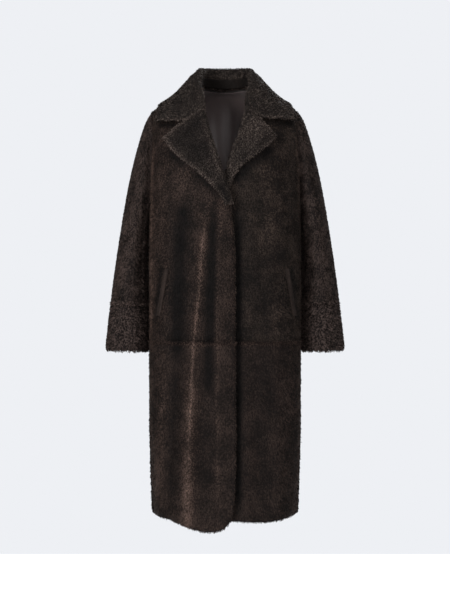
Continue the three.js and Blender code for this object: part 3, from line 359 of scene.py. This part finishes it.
def new_group(name, kind, inputs, outputs):
    """An empty node group with named sockets; gives the group, its input node and its output node."""
    group = bpy.data.node_groups.new(name, kind)
    for label, socket in inputs:
        group.interface.new_socket(label, in_out="INPUT", socket_type=socket)
    for label, socket in outputs:
        group.interface.new_socket(label, in_out="OUTPUT", socket_type=socket)
    return group, group.nodes.new("NodeGroupInput"), group.nodes.new("NodeGroupOutput")


def new_material(name):
    """A new material, its node tree and its shader."""
    material = bpy.data.materials.new(name)
    material.use_nodes = True
    tree = material.node_tree
    return material, tree, tree.nodes["Principled BSDF"]


# Mesh helpers

def mesh_object(name, bm):
    """Turn a bmesh into a linked object and free it."""
    mesh = bpy.data.meshes.new(name)
    bm.to_mesh(mesh)
    bm.free()
    obj = bpy.data.objects.new(name, mesh)
    bpy.context.scene.collection.objects.link(obj)
    return obj


def freeze(obj):
    """Make the modifiers' result the object's own mesh."""
    graph = bpy.context.evaluated_depsgraph_get()
    mesh = bpy.data.meshes.new_from_object(obj.evaluated_get(graph), preserve_all_data_layers=True,
                                           depsgraph=graph)
    obj.modifiers.clear()
    old = obj.data
    obj.data = mesh
    bpy.data.meshes.remove(old)


def nearest_on(line, point):
    """The point of a two-ended line that is nearest to point."""
    a, b = line
    along = (point - a).dot(b - a) / (b - a).length_squared
    return a + (b - a) * min(max(along, 0), 1)


def face_tree(bm):
    """A search tree of a mesh's faces."""
    bm.normal_update()
    return BVHTree.FromBMesh(bm)


def merged_node(node):
    """A copy of a node's mesh with its loose triangles joined."""
    bm = bmesh.new()
    bm.from_mesh(bpy.data.objects[node].data)
    bmesh.ops.remove_doubles(bm, verts=bm.verts, dist=MERGE)
    bmesh.ops.recalc_face_normals(bm, faces=bm.faces)
    return bm


# Camera and studio

def add_camera():
    """Set the photograph's view."""
    data = bpy.data.cameras.new("camera")
    data.lens = LENS
    data.sensor_width = SENSOR
    camera = bpy.data.objects.new("camera", data)
    camera.location = EYE
    camera.rotation_euler = (math.radians(90), 0, 0)
    bpy.context.scene.collection.objects.link(camera)
    bpy.context.scene.camera = camera


def add_lamp(row):
    """Hang one soft studio panel that faces its aim."""
    data = bpy.data.lights.new(row.name, "AREA")
    data.shape = "DISK"
    data.size = row.size
    data.energy = row.power
    lamp = bpy.data.objects.new(row.name, data)
    lamp.location = row.place
    lamp.rotation_euler = (Vector(row.aim) - Vector(row.place)).to_track_quat("-Z", "Y").to_euler()
    bpy.context.scene.collection.objects.link(lamp)


def add_air():
    """A pale backdrop that gives less light than it shows."""
    world = bpy.data.worlds.new("studio")
    world.use_nodes = True
    tree = world.node_tree
    air = tree.nodes["Background"]
    set_inputs(air, Color=AIR_COLOUR)
    path = add_node(tree, "ShaderNodeLightPath")
    power = add_node(tree, "ShaderNodeMapRange")
    set_inputs(power, To_Min=AMBIENT, To_Max=1.0)
    tree.links.new(path.outputs["Is Camera Ray"], power.inputs["Value"])
    tree.links.new(power.outputs["Result"], air.inputs["Strength"])
    bpy.context.scene.world = world
    bpy.context.scene.view_settings.view_transform = "Standard"


def floor_paper():
    """The floor's plain material."""
    material, _, shader = new_material("floor_paper")
    set_inputs(shader, Base_Color=FLOOR_COLOUR, Roughness=0.9, Emission_Color=(1, 1, 1, 1),
               Emission_Strength=FLOOR_GLOW)
    return material


def add_floor():
    """Put a plain pale floor under the coat, clear of its hem."""
    bm = bmesh.new()
    bmesh.ops.create_grid(bm, x_segments=1, y_segments=1, size=FLOOR_REACH)
    bmesh.ops.translate(bm, verts=bm.verts, vec=(0, 0, FLOOR_LEVEL))
    floor = mesh_object("floor", bm)
    floor.data.materials.append(floor_paper())


# The outer side of a wall

def rim_faces(bm, wall, neighbours):
    """The faces of a wall's edge: no wall close behind them, or a sewn piece just before them."""
    own = face_tree(bm)
    rims = set()
    for face in bm.faces:
        middle = face.calc_center_median()
        behind = own.ray_cast(middle - face.normal * RAY_START, -face.normal)[3]
        sewn = any(tree.ray_cast(middle, face.normal, SEAM_REACH)[3] is not None for tree in neighbours)
        if sewn or behind is None or behind > wall * WALL_SLACK:
            rims.add(face)
    return rims


def patches(bm, rims):
    """Split the other faces into patches that end at the rims and at sharp edges, largest first."""
    left = set(bm.faces) - rims
    found = []
    while left:
        patch = [left.pop()]
        for face in patch:
            for edge in face.edges:
                if not edge.is_manifold or edge.calc_face_angle() > WALL_TURN:
                    continue
                for other in edge.link_faces:
                    if other in left:
                        left.remove(other)
                        patch.append(other)
        found.append(patch)
    found.sort(key=lambda patch: -sum(face.calc_area() for face in patch))
    return found


def wall_side(node, away, wall, sewn):
    """Copy the side of a node's wall that faces away, as an open sheet."""
    bm = merged_node(node)
    neighbours = [NODE_TREES[other] for other in sewn if other != node]
    sides = patches(bm, rim_faces(bm, wall, neighbours))[:2]
    sides.sort(key=lambda patch: sum(away(face) * face.calc_area() for face in patch), reverse=True)
    kept = set(sides[0])
    bmesh.ops.delete(bm, geom=[face for face in bm.faces if face not in kept], context="FACES")
    bmesh.ops.join_triangles(bm, faces=bm.faces, angle_face_threshold=JOIN_FACES,
                             angle_shape_threshold=JOIN_SHAPES)
    bm.normal_update()
    return bm


def away_from(line):
    """A measure of how far a face looks away from a line."""
    def measure(face):
        middle = face.calc_center_median()
        return face.normal.dot(middle - nearest_on(line, middle))
    return measure


def facing(direction):
    """A measure of how far a face looks in one direction."""
    return lambda face: face.normal.dot(direction)


# Creases, rims and streaks on a mesh

def nearest_along(points, flat):
    """Distance from each place to a line through points, and the share of its length there."""
    stops = np.array(points, dtype=float) * MM
    lengths = np.linalg.norm(np.diff(stops, axis=0), axis=1)
    total = lengths.sum()
    best = np.full(len(flat), np.inf)
    share = np.zeros(len(flat))
    done = 0.0
    for start, end, length in zip(stops[:-1], stops[1:], lengths):
        along = np.clip((flat - start) @ (end - start) / length ** 2, 0, 1)
        off = np.linalg.norm(flat - (start + along[:, None] * (end - start)), axis=1)
        closer = off < best
        best[closer] = off[closer]
        share[closer] = (done + along[closer] * length) / total
        done += length
    return best, share


def sum_lines(rows, places, amount):
    """Add up each line's amount at the places on its side, soft across and at both ends."""
    total = np.zeros(len(places))
    flat = places[:, [0, 2]]
    front = places[:, 1] < SIDE_SPLIT
    for row in rows:
        off, share = nearest_along(row.points, flat)
        ends = np.clip(np.minimum(share, 1 - share) / END_FADE, 0, 1)
        ends = ends * ends * (3 - 2 * ends)
        on_side = front if row.side == "front" else ~front
        total += amount(row) * ends * on_side * np.exp(-(off / (row.width * MM)) ** 2)
    return total


def press_creases(bm, node, rows):
    """Move each point of the sheet by its creases."""
    places = np.array([vert.co for vert in bm.verts])
    moves = sum_lines([row for row in rows if node.startswith(row.on)], places, lambda row: row.height * MM)
    for vert, move in zip(bm.verts, moves):
        vert.co += vert.normal * move


def mark_rim(bm, rim):
    """Lift a piece's rim and store how much lighter the pile is there, partly from wear and partly as a
    painted highlight.
    """
    layer = bm.verts.layers.float.new("worn")
    edge_points = [vert.co.copy() for vert in bm.verts if vert.is_boundary]
    tree = KDTree(len(edge_points))
    for index, point in enumerate(edge_points):
        tree.insert(point, index)
    tree.balance()
    for vert in bm.verts:
        near = max(0, 1 - tree.find(vert.co)[2] / RIM_WIDTH) * rim
        vert[layer] = near
        vert.co += vert.normal * RIM_RISE * near


def paint_light_streaks(mesh, node):
    """Add a node's streaks of painted highlight and painted shade to a mesh's stored lightness."""
    count = len(mesh.vertices)
    places = np.empty(count * 3)
    mesh.vertices.foreach_get("co", places)
    worn = np.empty(count)
    mesh.attributes["worn"].data.foreach_get("value", worn)
    rows = [row for row in PAINTED_LIGHT_STREAKS if node.startswith(row.on)]
    worn += sum_lines(rows, places.reshape(-1, 3), lambda row: row.tone)
    mesh.attributes["worn"].data.foreach_set("value", np.maximum(worn, PAINTED_LIGHT_AND_WEAR_LEAST))


# Materials

def make_wool_tone():
    """Wool colour: darker at the root, uneven by tuft, curl and patch, and made lighter or darker by painted
    highlights and shade and by the rims' wear.
    """
    group, ins, outs = new_group("wool_tone", "ShaderNodeTree", [
        ("Dark", "NodeSocketColor"), ("Light", "NodeSocketColor"), ("Lift", "NodeSocketFloat"),
        ("Patch Scale", "NodeSocketFloat"), ("Patch", "NodeSocketFloat"),
        ("Curl Scale", "NodeSocketFloat"), ("Curl", "NodeSocketFloat"), ("Worn", "NodeSocketFloat"),
    ], [("Color", "NodeSocketColor")])
    link = group.links.new
    place = add_node(group, "ShaderNodeTexCoord")
    total = ins.outputs["Lift"]
    for scale, share, low, high in (("Patch Scale", "Patch", 0.3, 0.7), ("Curl Scale", "Curl", 0.35, 0.65)):
        cloud = add_node(group, "ShaderNodeTexNoise")
        set_inputs(cloud, Detail=3.0, Roughness=0.6)
        link(place.outputs["Object"], cloud.inputs["Vector"])
        link(ins.outputs[scale], cloud.inputs["Scale"])
        level = add_node(group, "ShaderNodeMapRange")
        set_inputs(level, From_Min=low, From_Max=high, To_Min=-0.5, To_Max=0.5)
        link(cloud.outputs["Fac"], level.inputs["Value"])
        total = number_math(group, "MULTIPLY_ADD", level.outputs["Result"], ins.outputs[share], total)
    mix = add_node(group, "ShaderNodeMix", data_type="RGBA", clamp_factor=True)
    link(total, mix.inputs["Factor"])
    link(ins.outputs["Dark"], mix.inputs["A"])
    link(ins.outputs["Light"], mix.inputs["B"])
    # The painted highlights and shade, with the rims' wear, scale the colour
    gain = number_math(group, "ADD", ins.outputs["Worn"], 1.0)
    link(vector_math(group, "SCALE", mix.outputs["Result"], gain), outs.inputs["Color"])
    return group


def colour_wool(tree, shader, lift, dark, light, patch_scale, patch, curl_scale, curl):
    """Colour a shader by the wool group."""
    tone = add_node(tree, "ShaderNodeGroup", node_tree=WOOL_TONE)
    set_inputs(tone, Dark=(*dark, 1), Light=(*light, 1), Patch_Scale=patch_scale, Patch=patch,
               Curl_Scale=curl_scale, Curl=curl)
    tree.links.new(lift, tone.inputs["Lift"])
    # The stored value paints highlight and shade, and the rims' wear, into the colour
    tree.links.new(attribute(tree, "worn"), tone.inputs["Worn"])
    tree.links.new(tone.outputs["Color"], shader.inputs["Base Color"])


def wool(name, dark, light, patch_scale=9.0, patch=0.5, curl_scale=120.0, curl=0.4):
    """Pile colour from the tuft's own root-to-tip value, its shade, and the streaks of painted highlight and
    shade with the rims' wear.
    """
    material, tree, shader = new_material(name)
    lift = number_math(tree, "MULTIPLY", attribute(tree, "tip"), TIP_SHARE)
    lift = number_math(tree, "MULTIPLY_ADD", attribute(tree, "shade"), SHADE_SHARE, lift)
    colour_wool(tree, shader, lift, dark, light, patch_scale, patch, curl_scale, curl)
    set_inputs(shader, Roughness=0.7, Specular_IOR_Level=0.1, Sheen_Weight=0.05, Sheen_Roughness=0.45,
               Sheen_Tint=(0.75, 0.58, 0.50, 1))
    return material


def skin(name, dark, light):
    """The skin and packed roots under the pile, with a fine curl in its relief."""
    material, tree, shader = new_material(name)
    place = add_node(tree, "ShaderNodeTexCoord")
    fine = add_node(tree, "ShaderNodeTexNoise")
    set_inputs(fine, Scale=240.0, Detail=2.0, Distortion=1.2)
    tree.links.new(place.outputs["Object"], fine.inputs["Vector"])
    colour_wool(tree, shader, fine.outputs["Fac"], dark, light, patch_scale=12.0, patch=0.5, curl_scale=160.0,
                curl=0.4)
    bump = add_node(tree, "ShaderNodeBump")
    set_inputs(bump, Strength=0.8, Distance=0.001)
    tree.links.new(fine.outputs["Fac"], bump.inputs["Height"])
    tree.links.new(bump.outputs["Normal"], shader.inputs["Normal"])
    set_inputs(shader, Roughness=0.85, Specular_IOR_Level=0.1)
    return material


def satin(name, colour, roughness):
    """A smooth cloth or suede: a cloudy colour and a fine slanted weave."""
    material, tree, shader = new_material(name)
    link = tree.links.new
    place = add_node(tree, "ShaderNodeTexCoord")
    twill = add_node(tree, "ShaderNodeTexWave", wave_type="BANDS", bands_direction="DIAGONAL")
    set_inputs(twill, Scale=700.0, Distortion=0.6)
    link(place.outputs["Object"], twill.inputs["Vector"])
    cloud = add_node(tree, "ShaderNodeTexNoise")
    set_inputs(cloud, Scale=14.0, Detail=3.0)
    link(place.outputs["Object"], cloud.inputs["Vector"])
    mix = add_node(tree, "ShaderNodeMix", data_type="RGBA")
    mix.inputs["A"].default_value = (*[value * SATIN_DARK for value in colour], 1)
    mix.inputs["B"].default_value = (*[value * SATIN_LIGHT for value in colour], 1)
    link(cloud.outputs["Fac"], mix.inputs["Factor"])
    link(mix.outputs["Result"], shader.inputs["Base Color"])
    bump = add_node(tree, "ShaderNodeBump")
    set_inputs(bump, Strength=0.15, Distance=0.0003)
    link(twill.outputs["Fac"], bump.inputs["Height"])
    link(bump.outputs["Normal"], shader.inputs["Normal"])
    set_inputs(shader, Roughness=roughness, Sheen_Weight=0.05, Specular_IOR_Level=0.3)
    return material


# The pile

def make_tuft():
    """One curled lock: a strip that narrows to its tip and bends along +Y."""
    bm = bmesh.new()
    bmesh.ops.create_grid(bm, x_segments=1, y_segments=TUFT_STEPS, size=0.5)
    mark = bm.verts.layers.float.new("tip")
    for vert in bm.verts:
        up = vert.co.y + 0.5
        vert[mark] = up
        turn = TUFT_TURN * up
        vert.co = Vector((vert.co.x * TUFT_WIDTH * (1 - TUFT_TAPER * up),
                          TUFT_LENGTH * up * math.sin(turn) * TUFT_REACH,
                          TUFT_LENGTH * up * math.cos(turn * TUFT_DROP)))
    tips = [vert for vert in bm.verts if vert[mark] > TUFT_END]
    bmesh.ops.pointmerge(bm, verts=tips, merge_co=(tips[0].co + tips[1].co) / 2)
    bmesh.ops.triangulate(bm, faces=bm.faces)
    bm.normal_update()
    turned = [face for face in bm.faces if face.normal.z < 0]
    bmesh.ops.reverse_faces(bm, faces=turned)
    mesh = bpy.data.meshes.new("tuft")
    bm.to_mesh(mesh)
    bm.free()
    for polygon in mesh.polygons:
        polygon.use_smooth = True
    return bpy.data.objects.new("tuft", mesh)


def make_pile_nodes(tuft):
    """Plant tufts on the outer faces of a sheet, lying down the coat, with a wandering lean."""
    group, ins, outs = new_group("pile_nodes", "GeometryNodeTree", [
        ("Geometry", "NodeSocketGeometry"), ("Spacing", "NodeSocketFloat"), ("Seed", "NodeSocketInt"),
        ("Length", "NodeSocketFloat"), ("Lean", "NodeSocketFloat"), ("Wander", "NodeSocketFloat"),
        ("Curl Scale", "NodeSocketFloat"), ("Twist", "NodeSocketFloat"),
    ], [("Geometry", "NodeSocketGeometry")])
    link = group.links.new

    # Points on the outer faces, which keep the skin's own direction
    index = add_node(group, "GeometryNodeInputMaterialIndex")
    outer = add_node(group, "FunctionNodeCompare", data_type="INT", operation="EQUAL")
    link(index.outputs[0], outer.inputs["A"])
    scatter = add_node(group, "GeometryNodeDistributePointsOnFaces", distribute_method="POISSON")
    set_inputs(scatter, Density_Max=TUFTS_MOST)
    link(ins.outputs["Geometry"], scatter.inputs["Mesh"])
    link(outer.outputs[0], scatter.inputs["Selection"])
    link(ins.outputs["Spacing"], scatter.inputs["Distance Min"])
    link(ins.outputs["Seed"], scatter.inputs["Seed"])
    points = store(group, "skin_normal", scatter.outputs["Points"], scatter.outputs["Normal"],
                   data_type="FLOAT_VECTOR", domain="POINT")
    kept = add_node(group, "GeometryNodeInputNamedAttribute", data_type="FLOAT_VECTOR")
    set_inputs(kept, Name="skin_normal")
    normal = kept.outputs[0]

    # The way each lock leans: down the coat, with a swirl and a stray part
    swirl = add_node(group, "ShaderNodeTexNoise")
    set_inputs(swirl, Detail=1.0)
    link(ins.outputs["Curl Scale"], swirl.inputs["Scale"])
    centred = vector_math(group, "SUBTRACT", swirl.outputs["Color"], (0.5, 0.5, 0.5))
    wander = vector_math(group, "SCALE", centred, ins.outputs["Wander"])
    stray = add_node(group, "FunctionNodeRandomValue", data_type="FLOAT_VECTOR")
    stray.inputs[0].default_value = (-STRAY, -STRAY, -STRAY)
    stray.inputs[1].default_value = (STRAY, STRAY, STRAY)
    set_inputs(stray, Seed=SEEDS["stray"])
    loose = vector_math(group, "ADD", wander, stray.outputs["Value"])
    nap = vector_math(group, "ADD", loose, NAP)
    across = vector_math(group, "CROSS_PRODUCT", nap, normal)
    along = vector_math(group, "CROSS_PRODUCT", normal, across)
    flat = vector_math(group, "NORMALIZE", along)
    leaning = vector_math(group, "SCALE", flat, ins.outputs["Lean"])
    grow = vector_math(group, "ADD", leaning, normal)

    # Its turn, twist and length
    turn = add_node(group, "FunctionNodeAxesToRotation", primary_axis="Z", secondary_axis="Y")
    link(grow, turn.inputs[0])
    link(flat, turn.inputs[1])
    twist = ins.outputs["Twist"]
    screw = add_node(group, "FunctionNodeAxisAngleToRotation")
    set_inputs(screw, Axis=(0, 0, 1))
    link(random_number(group, SEEDS["spin"], number_math(group, "MULTIPLY", twist, -1), twist),
         screw.inputs["Angle"])
    turned = add_node(group, "FunctionNodeRotateRotation", rotation_space="LOCAL")
    link(turn.outputs[0], turned.inputs[0])
    link(screw.outputs[0], turned.inputs[1])
    size = random_number(group, SEEDS["size"], *TUFT_SIZES)
    length = number_math(group, "MULTIPLY", size, ins.outputs["Length"])

    # The locks themselves, each with a shade of its own
    lock = add_node(group, "GeometryNodeObjectInfo")
    lock.inputs["Object"].default_value = tuft
    plant = add_node(group, "GeometryNodeInstanceOnPoints")
    link(points, plant.inputs["Points"])
    link(lock.outputs["Geometry"], plant.inputs["Instance"])
    link(turned.outputs[0], plant.inputs["Rotation"])
    link(length, plant.inputs["Scale"])
    shaded = store(group, "shade", plant.outputs[0], random_number(group, SEEDS["shade"]),
                   data_type="FLOAT", domain="INSTANCE")
    real = add_node(group, "GeometryNodeRealizeInstances")
    link(shaded, real.inputs[0])
    link(real.outputs[0], outs.inputs[0])
    return group


def soften_normals(mesh, share):
    """Let each tuft take a share of its shading from the skin that carries it."""
    count = len(mesh.vertices)
    own = np.empty(count * 3, dtype=np.float32)
    mesh.vertex_normals.foreach_get("vector", own)
    under = np.empty(count * 3, dtype=np.float32)
    mesh.attributes["skin_normal"].data.foreach_get("vector", under)
    mixed = own.reshape(-1, 3) * (1 - share) + under.reshape(-1, 3) * share
    mixed /= np.maximum(np.linalg.norm(mixed, axis=1, keepdims=True), NORMAL_LEAST)
    mesh.normals_split_custom_set_from_vertices(mixed)


def grow_pile(sheet, name, material, seed, spacing, length, lean, wander, curl, twist=0.9, share=0.6):
    """Cover a sheet's outer faces with tufts, spaced in millimetres."""
    pile = bpy.data.objects.new(name, sheet.data.copy())
    bpy.context.scene.collection.objects.link(pile)
    planting = pile.modifiers.new("pile", "NODES")
    planting.node_group = PILE_NODES
    values = {"Spacing": spacing * MM, "Seed": seed, "Length": length, "Lean": lean, "Wander": wander,
              "Curl Scale": curl, "Twist": twist}
    for item in PILE_NODES.interface.items_tree:
        if item.in_out == "INPUT" and item.name in values:
            planting[item.identifier] = values[item.name]
    freeze(pile)
    pile.data.materials.clear()
    pile.data.materials.append(material)
    pile.data.polygons.foreach_set("material_index", np.zeros(len(pile.data.polygons), dtype=np.int32))
    pile.data.polygons.foreach_set("use_smooth", np.ones(len(pile.data.polygons), dtype=bool))
    soften_normals(pile.data, share)
    return pile


# Cloth pieces

def make_sheet(node, name, away, depth, thick, outer, inner, both=False, folds=CREASES, rim=0.0, wall=WALL,
               sewn=()):
    """Build a thin shell on a node's form: set in under its face, rounded, creased and given a thickness."""
    bm = wall_side(node, away, wall, sewn)
    for vert in bm.verts:
        vert.co -= vert.normal * depth
    sheet = mesh_object(name, bm)
    rounding = sheet.modifiers.new("rounding", "SUBSURF")
    rounding.levels = ROUNDING
    rounding.render_levels = ROUNDING
    rounding.boundary_smooth = "PRESERVE_CORNERS"
    freeze(sheet)
    bm = bmesh.new()
    bm.from_mesh(sheet.data)
    bm.normal_update()
    press_creases(bm, node, folds)
    mark_rim(bm, rim)
    bm.to_mesh(sheet.data)
    bm.free()
    sheet.data.materials.clear()
    sheet.data.materials.append(outer)
    sheet.data.materials.append(inner)
    shell = sheet.modifiers.new("shell", "SOLIDIFY")
    shell.thickness = thick
    shell.offset = -1
    shell.use_even_offset = True
    shell.material_offset = 0 if both else 1
    freeze(sheet)
    for polygon in sheet.data.polygons:
        polygon.use_smooth = True
    return sheet


def sleeve_line(side):
    """The middle line of one sleeve; side is -1 for the right arm and 1 for the left."""
    return tuple(Vector((point.x * side, point.y, point.z)) for point in (SHOULDER, WRIST))


def dress(sheet, pile, node):
    """Paint the streaks' highlights and shade into a finished sheet and its pile and hand both to the frame.
    """
    for piece in (sheet, pile):
        paint_light_streaks(piece.data, node)
        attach(piece, "root")
    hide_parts(node)


add_camera()
add_air()
for row in LAMPS:
    add_lamp(row)
add_floor()

WOOL_TONE = make_wool_tone()
PILE_NODES = make_pile_nodes(make_tuft())
NODE_TREES = {node: face_tree(merged_node(node)) for node in SEWN}
LINES = {"body": (HEM, CHEST), "right": sleeve_line(-1), "left": sleeve_line(1)}

# The coat's own materials, and how each kind of pile lies

SKIN = skin("skin_brown", (0.0035, 0.0024, 0.0020), (0.010, 0.0072, 0.0061))
EDGE = skin("suede_edge", (0.0060, 0.0040, 0.0033), (0.019, 0.0130, 0.0108))
LINING = satin("lining_satin", (0.082, 0.062, 0.060), 0.45)
SUEDE = satin("suede_inside", (0.014, 0.011, 0.010), 0.8)
PILE = {
    "panel": wool("panel_wool", (0.0036, 0.0023, 0.0017), (0.035, 0.0222, 0.0175),
                  patch_scale=22.0, patch=0.9, curl_scale=230.0, curl=1.2),
    "dusk": wool("left_panel_wool", (0.0032, 0.0022, 0.0017), (0.0315, 0.0216, 0.0168),
                 patch_scale=26.0, patch=1.1, curl_scale=230.0, curl=1.2),
    "smooth": wool("lower_wool", (0.0040, 0.0025, 0.0019), (0.033, 0.0210, 0.0166),
                   patch_scale=16.0, patch=0.9, curl_scale=220.0, curl=0.9),
    "sleeve": wool("sleeve_wool", (0.0044, 0.0030, 0.0025), (0.042, 0.0288, 0.0244),
                   patch_scale=28.0, patch=0.9, curl_scale=200.0, curl=1.0),
    "curly": wool("curly_wool", (0.0044, 0.0030, 0.0026), (0.055, 0.0384, 0.0332),
                  patch_scale=50.0, patch=0.6, curl_scale=200.0, curl=1.3),
    "fine": wool("fine_wool", (0.0036, 0.0025, 0.0022), (0.043, 0.0330, 0.0276),
                 patch_scale=26.0, patch=0.8, curl_scale=260.0, curl=1.6),
    "band": wool("band_wool", (0.0020, 0.0014, 0.0012), (0.0090, 0.0066, 0.0057)),
}
LOOK = {
    "panel": dict(lean=0.5, wander=1.8, curl=60.0, length=1.0),
    "dusk": dict(lean=0.5, wander=1.8, curl=60.0, length=1.0),
    "smooth": dict(lean=0.7, wander=1.2, curl=45.0, length=1.0),
    "sleeve": dict(lean=0.35, wander=2.4, curl=85.0, length=1.2),
    "curly": dict(lean=0.22, wander=3.2, curl=120.0, twist=1.4, length=1.3, share=0.5),
    "fine": dict(lean=0.3, wander=3.0, curl=140.0, twist=1.4, length=0.85, share=0.5),
    "band": dict(lean=0.6, wander=1.2, curl=45.0, length=0.5),
}

# Panels, sleeves and cuffs

for number, part in enumerate(PARTS):
    sheet = make_sheet(part.node, f"{part.node}_skin", away_from(LINES[part.line]), SKIN_DEPTH[part.depth],
                       SKIN_THICK, SKIN, SUEDE, sewn=SEWN)
    pile = grow_pile(sheet, f"{part.node}_pile", PILE[part.hair], seed=number + 1, spacing=part.spacing,
                     **LOOK[part.hair])
    dress(sheet, pile, part.node)

# Collar, lapels and the band inside the neck

collar = make_sheet("collar", "collar_skin", facing(COLLAR_OUTWARD), COLLAR_DEPTH, COLLAR_THICK, SKIN, SKIN,
                    both=True, folds=COLLAR_FOLDS, rim=0.6)
collar_pile = grow_pile(collar, "collar_pile", PILE["fine"], seed=31, spacing=2.1, **LOOK["fine"])
dress(collar, collar_pile, "collar")

for row in LAPELS:
    name = f"lapel_{row.side}"
    lapel = make_sheet(name, f"{name}_skin", facing(FRONTWARD), COLLAR_DEPTH, COLLAR_THICK, SKIN, SKIN,
                       folds=[], rim=row.rim)
    lapel_pile = grow_pile(lapel, f"{name}_pile", PILE["fine"], seed=row.seed, spacing=2.0, **LOOK["fine"])
    dress(lapel, lapel_pile, name)

stand = make_sheet("collar_stand", "stand_skin", facing(FRONTWARD), STAND_DEPTH, STAND_THICK, SKIN, SKIN,
                   folds=[])
stand_pile = grow_pile(stand, "stand_pile", PILE["band"], seed=51, spacing=2.2, **LOOK["band"])
dress(stand, stand_pile, "collar_stand")

# Pocket edges

for side in ("right", "left"):
    name = f"pocket_welt_{side}"
    welt = make_sheet(name, f"{name}_edge", facing(FRONTWARD), WELT_DEPTH, WELT_THICK, EDGE, EDGE, folds=[],
                      wall=WELT_WALL)
    # Paint the pocket edges' highlights from the streaks
    paint_light_streaks(welt.data, name)
    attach(welt, "root")
    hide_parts(name)

# Back lining

lining = make_sheet("lining_back", "lining_satin_back", facing(FRONTWARD), LINING_DEPTH, LINING_THICK,
                    LINING, LINING, folds=SATIN_FOLDS, wall=LINING_WALL)
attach(lining, "root")
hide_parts("lining_back")
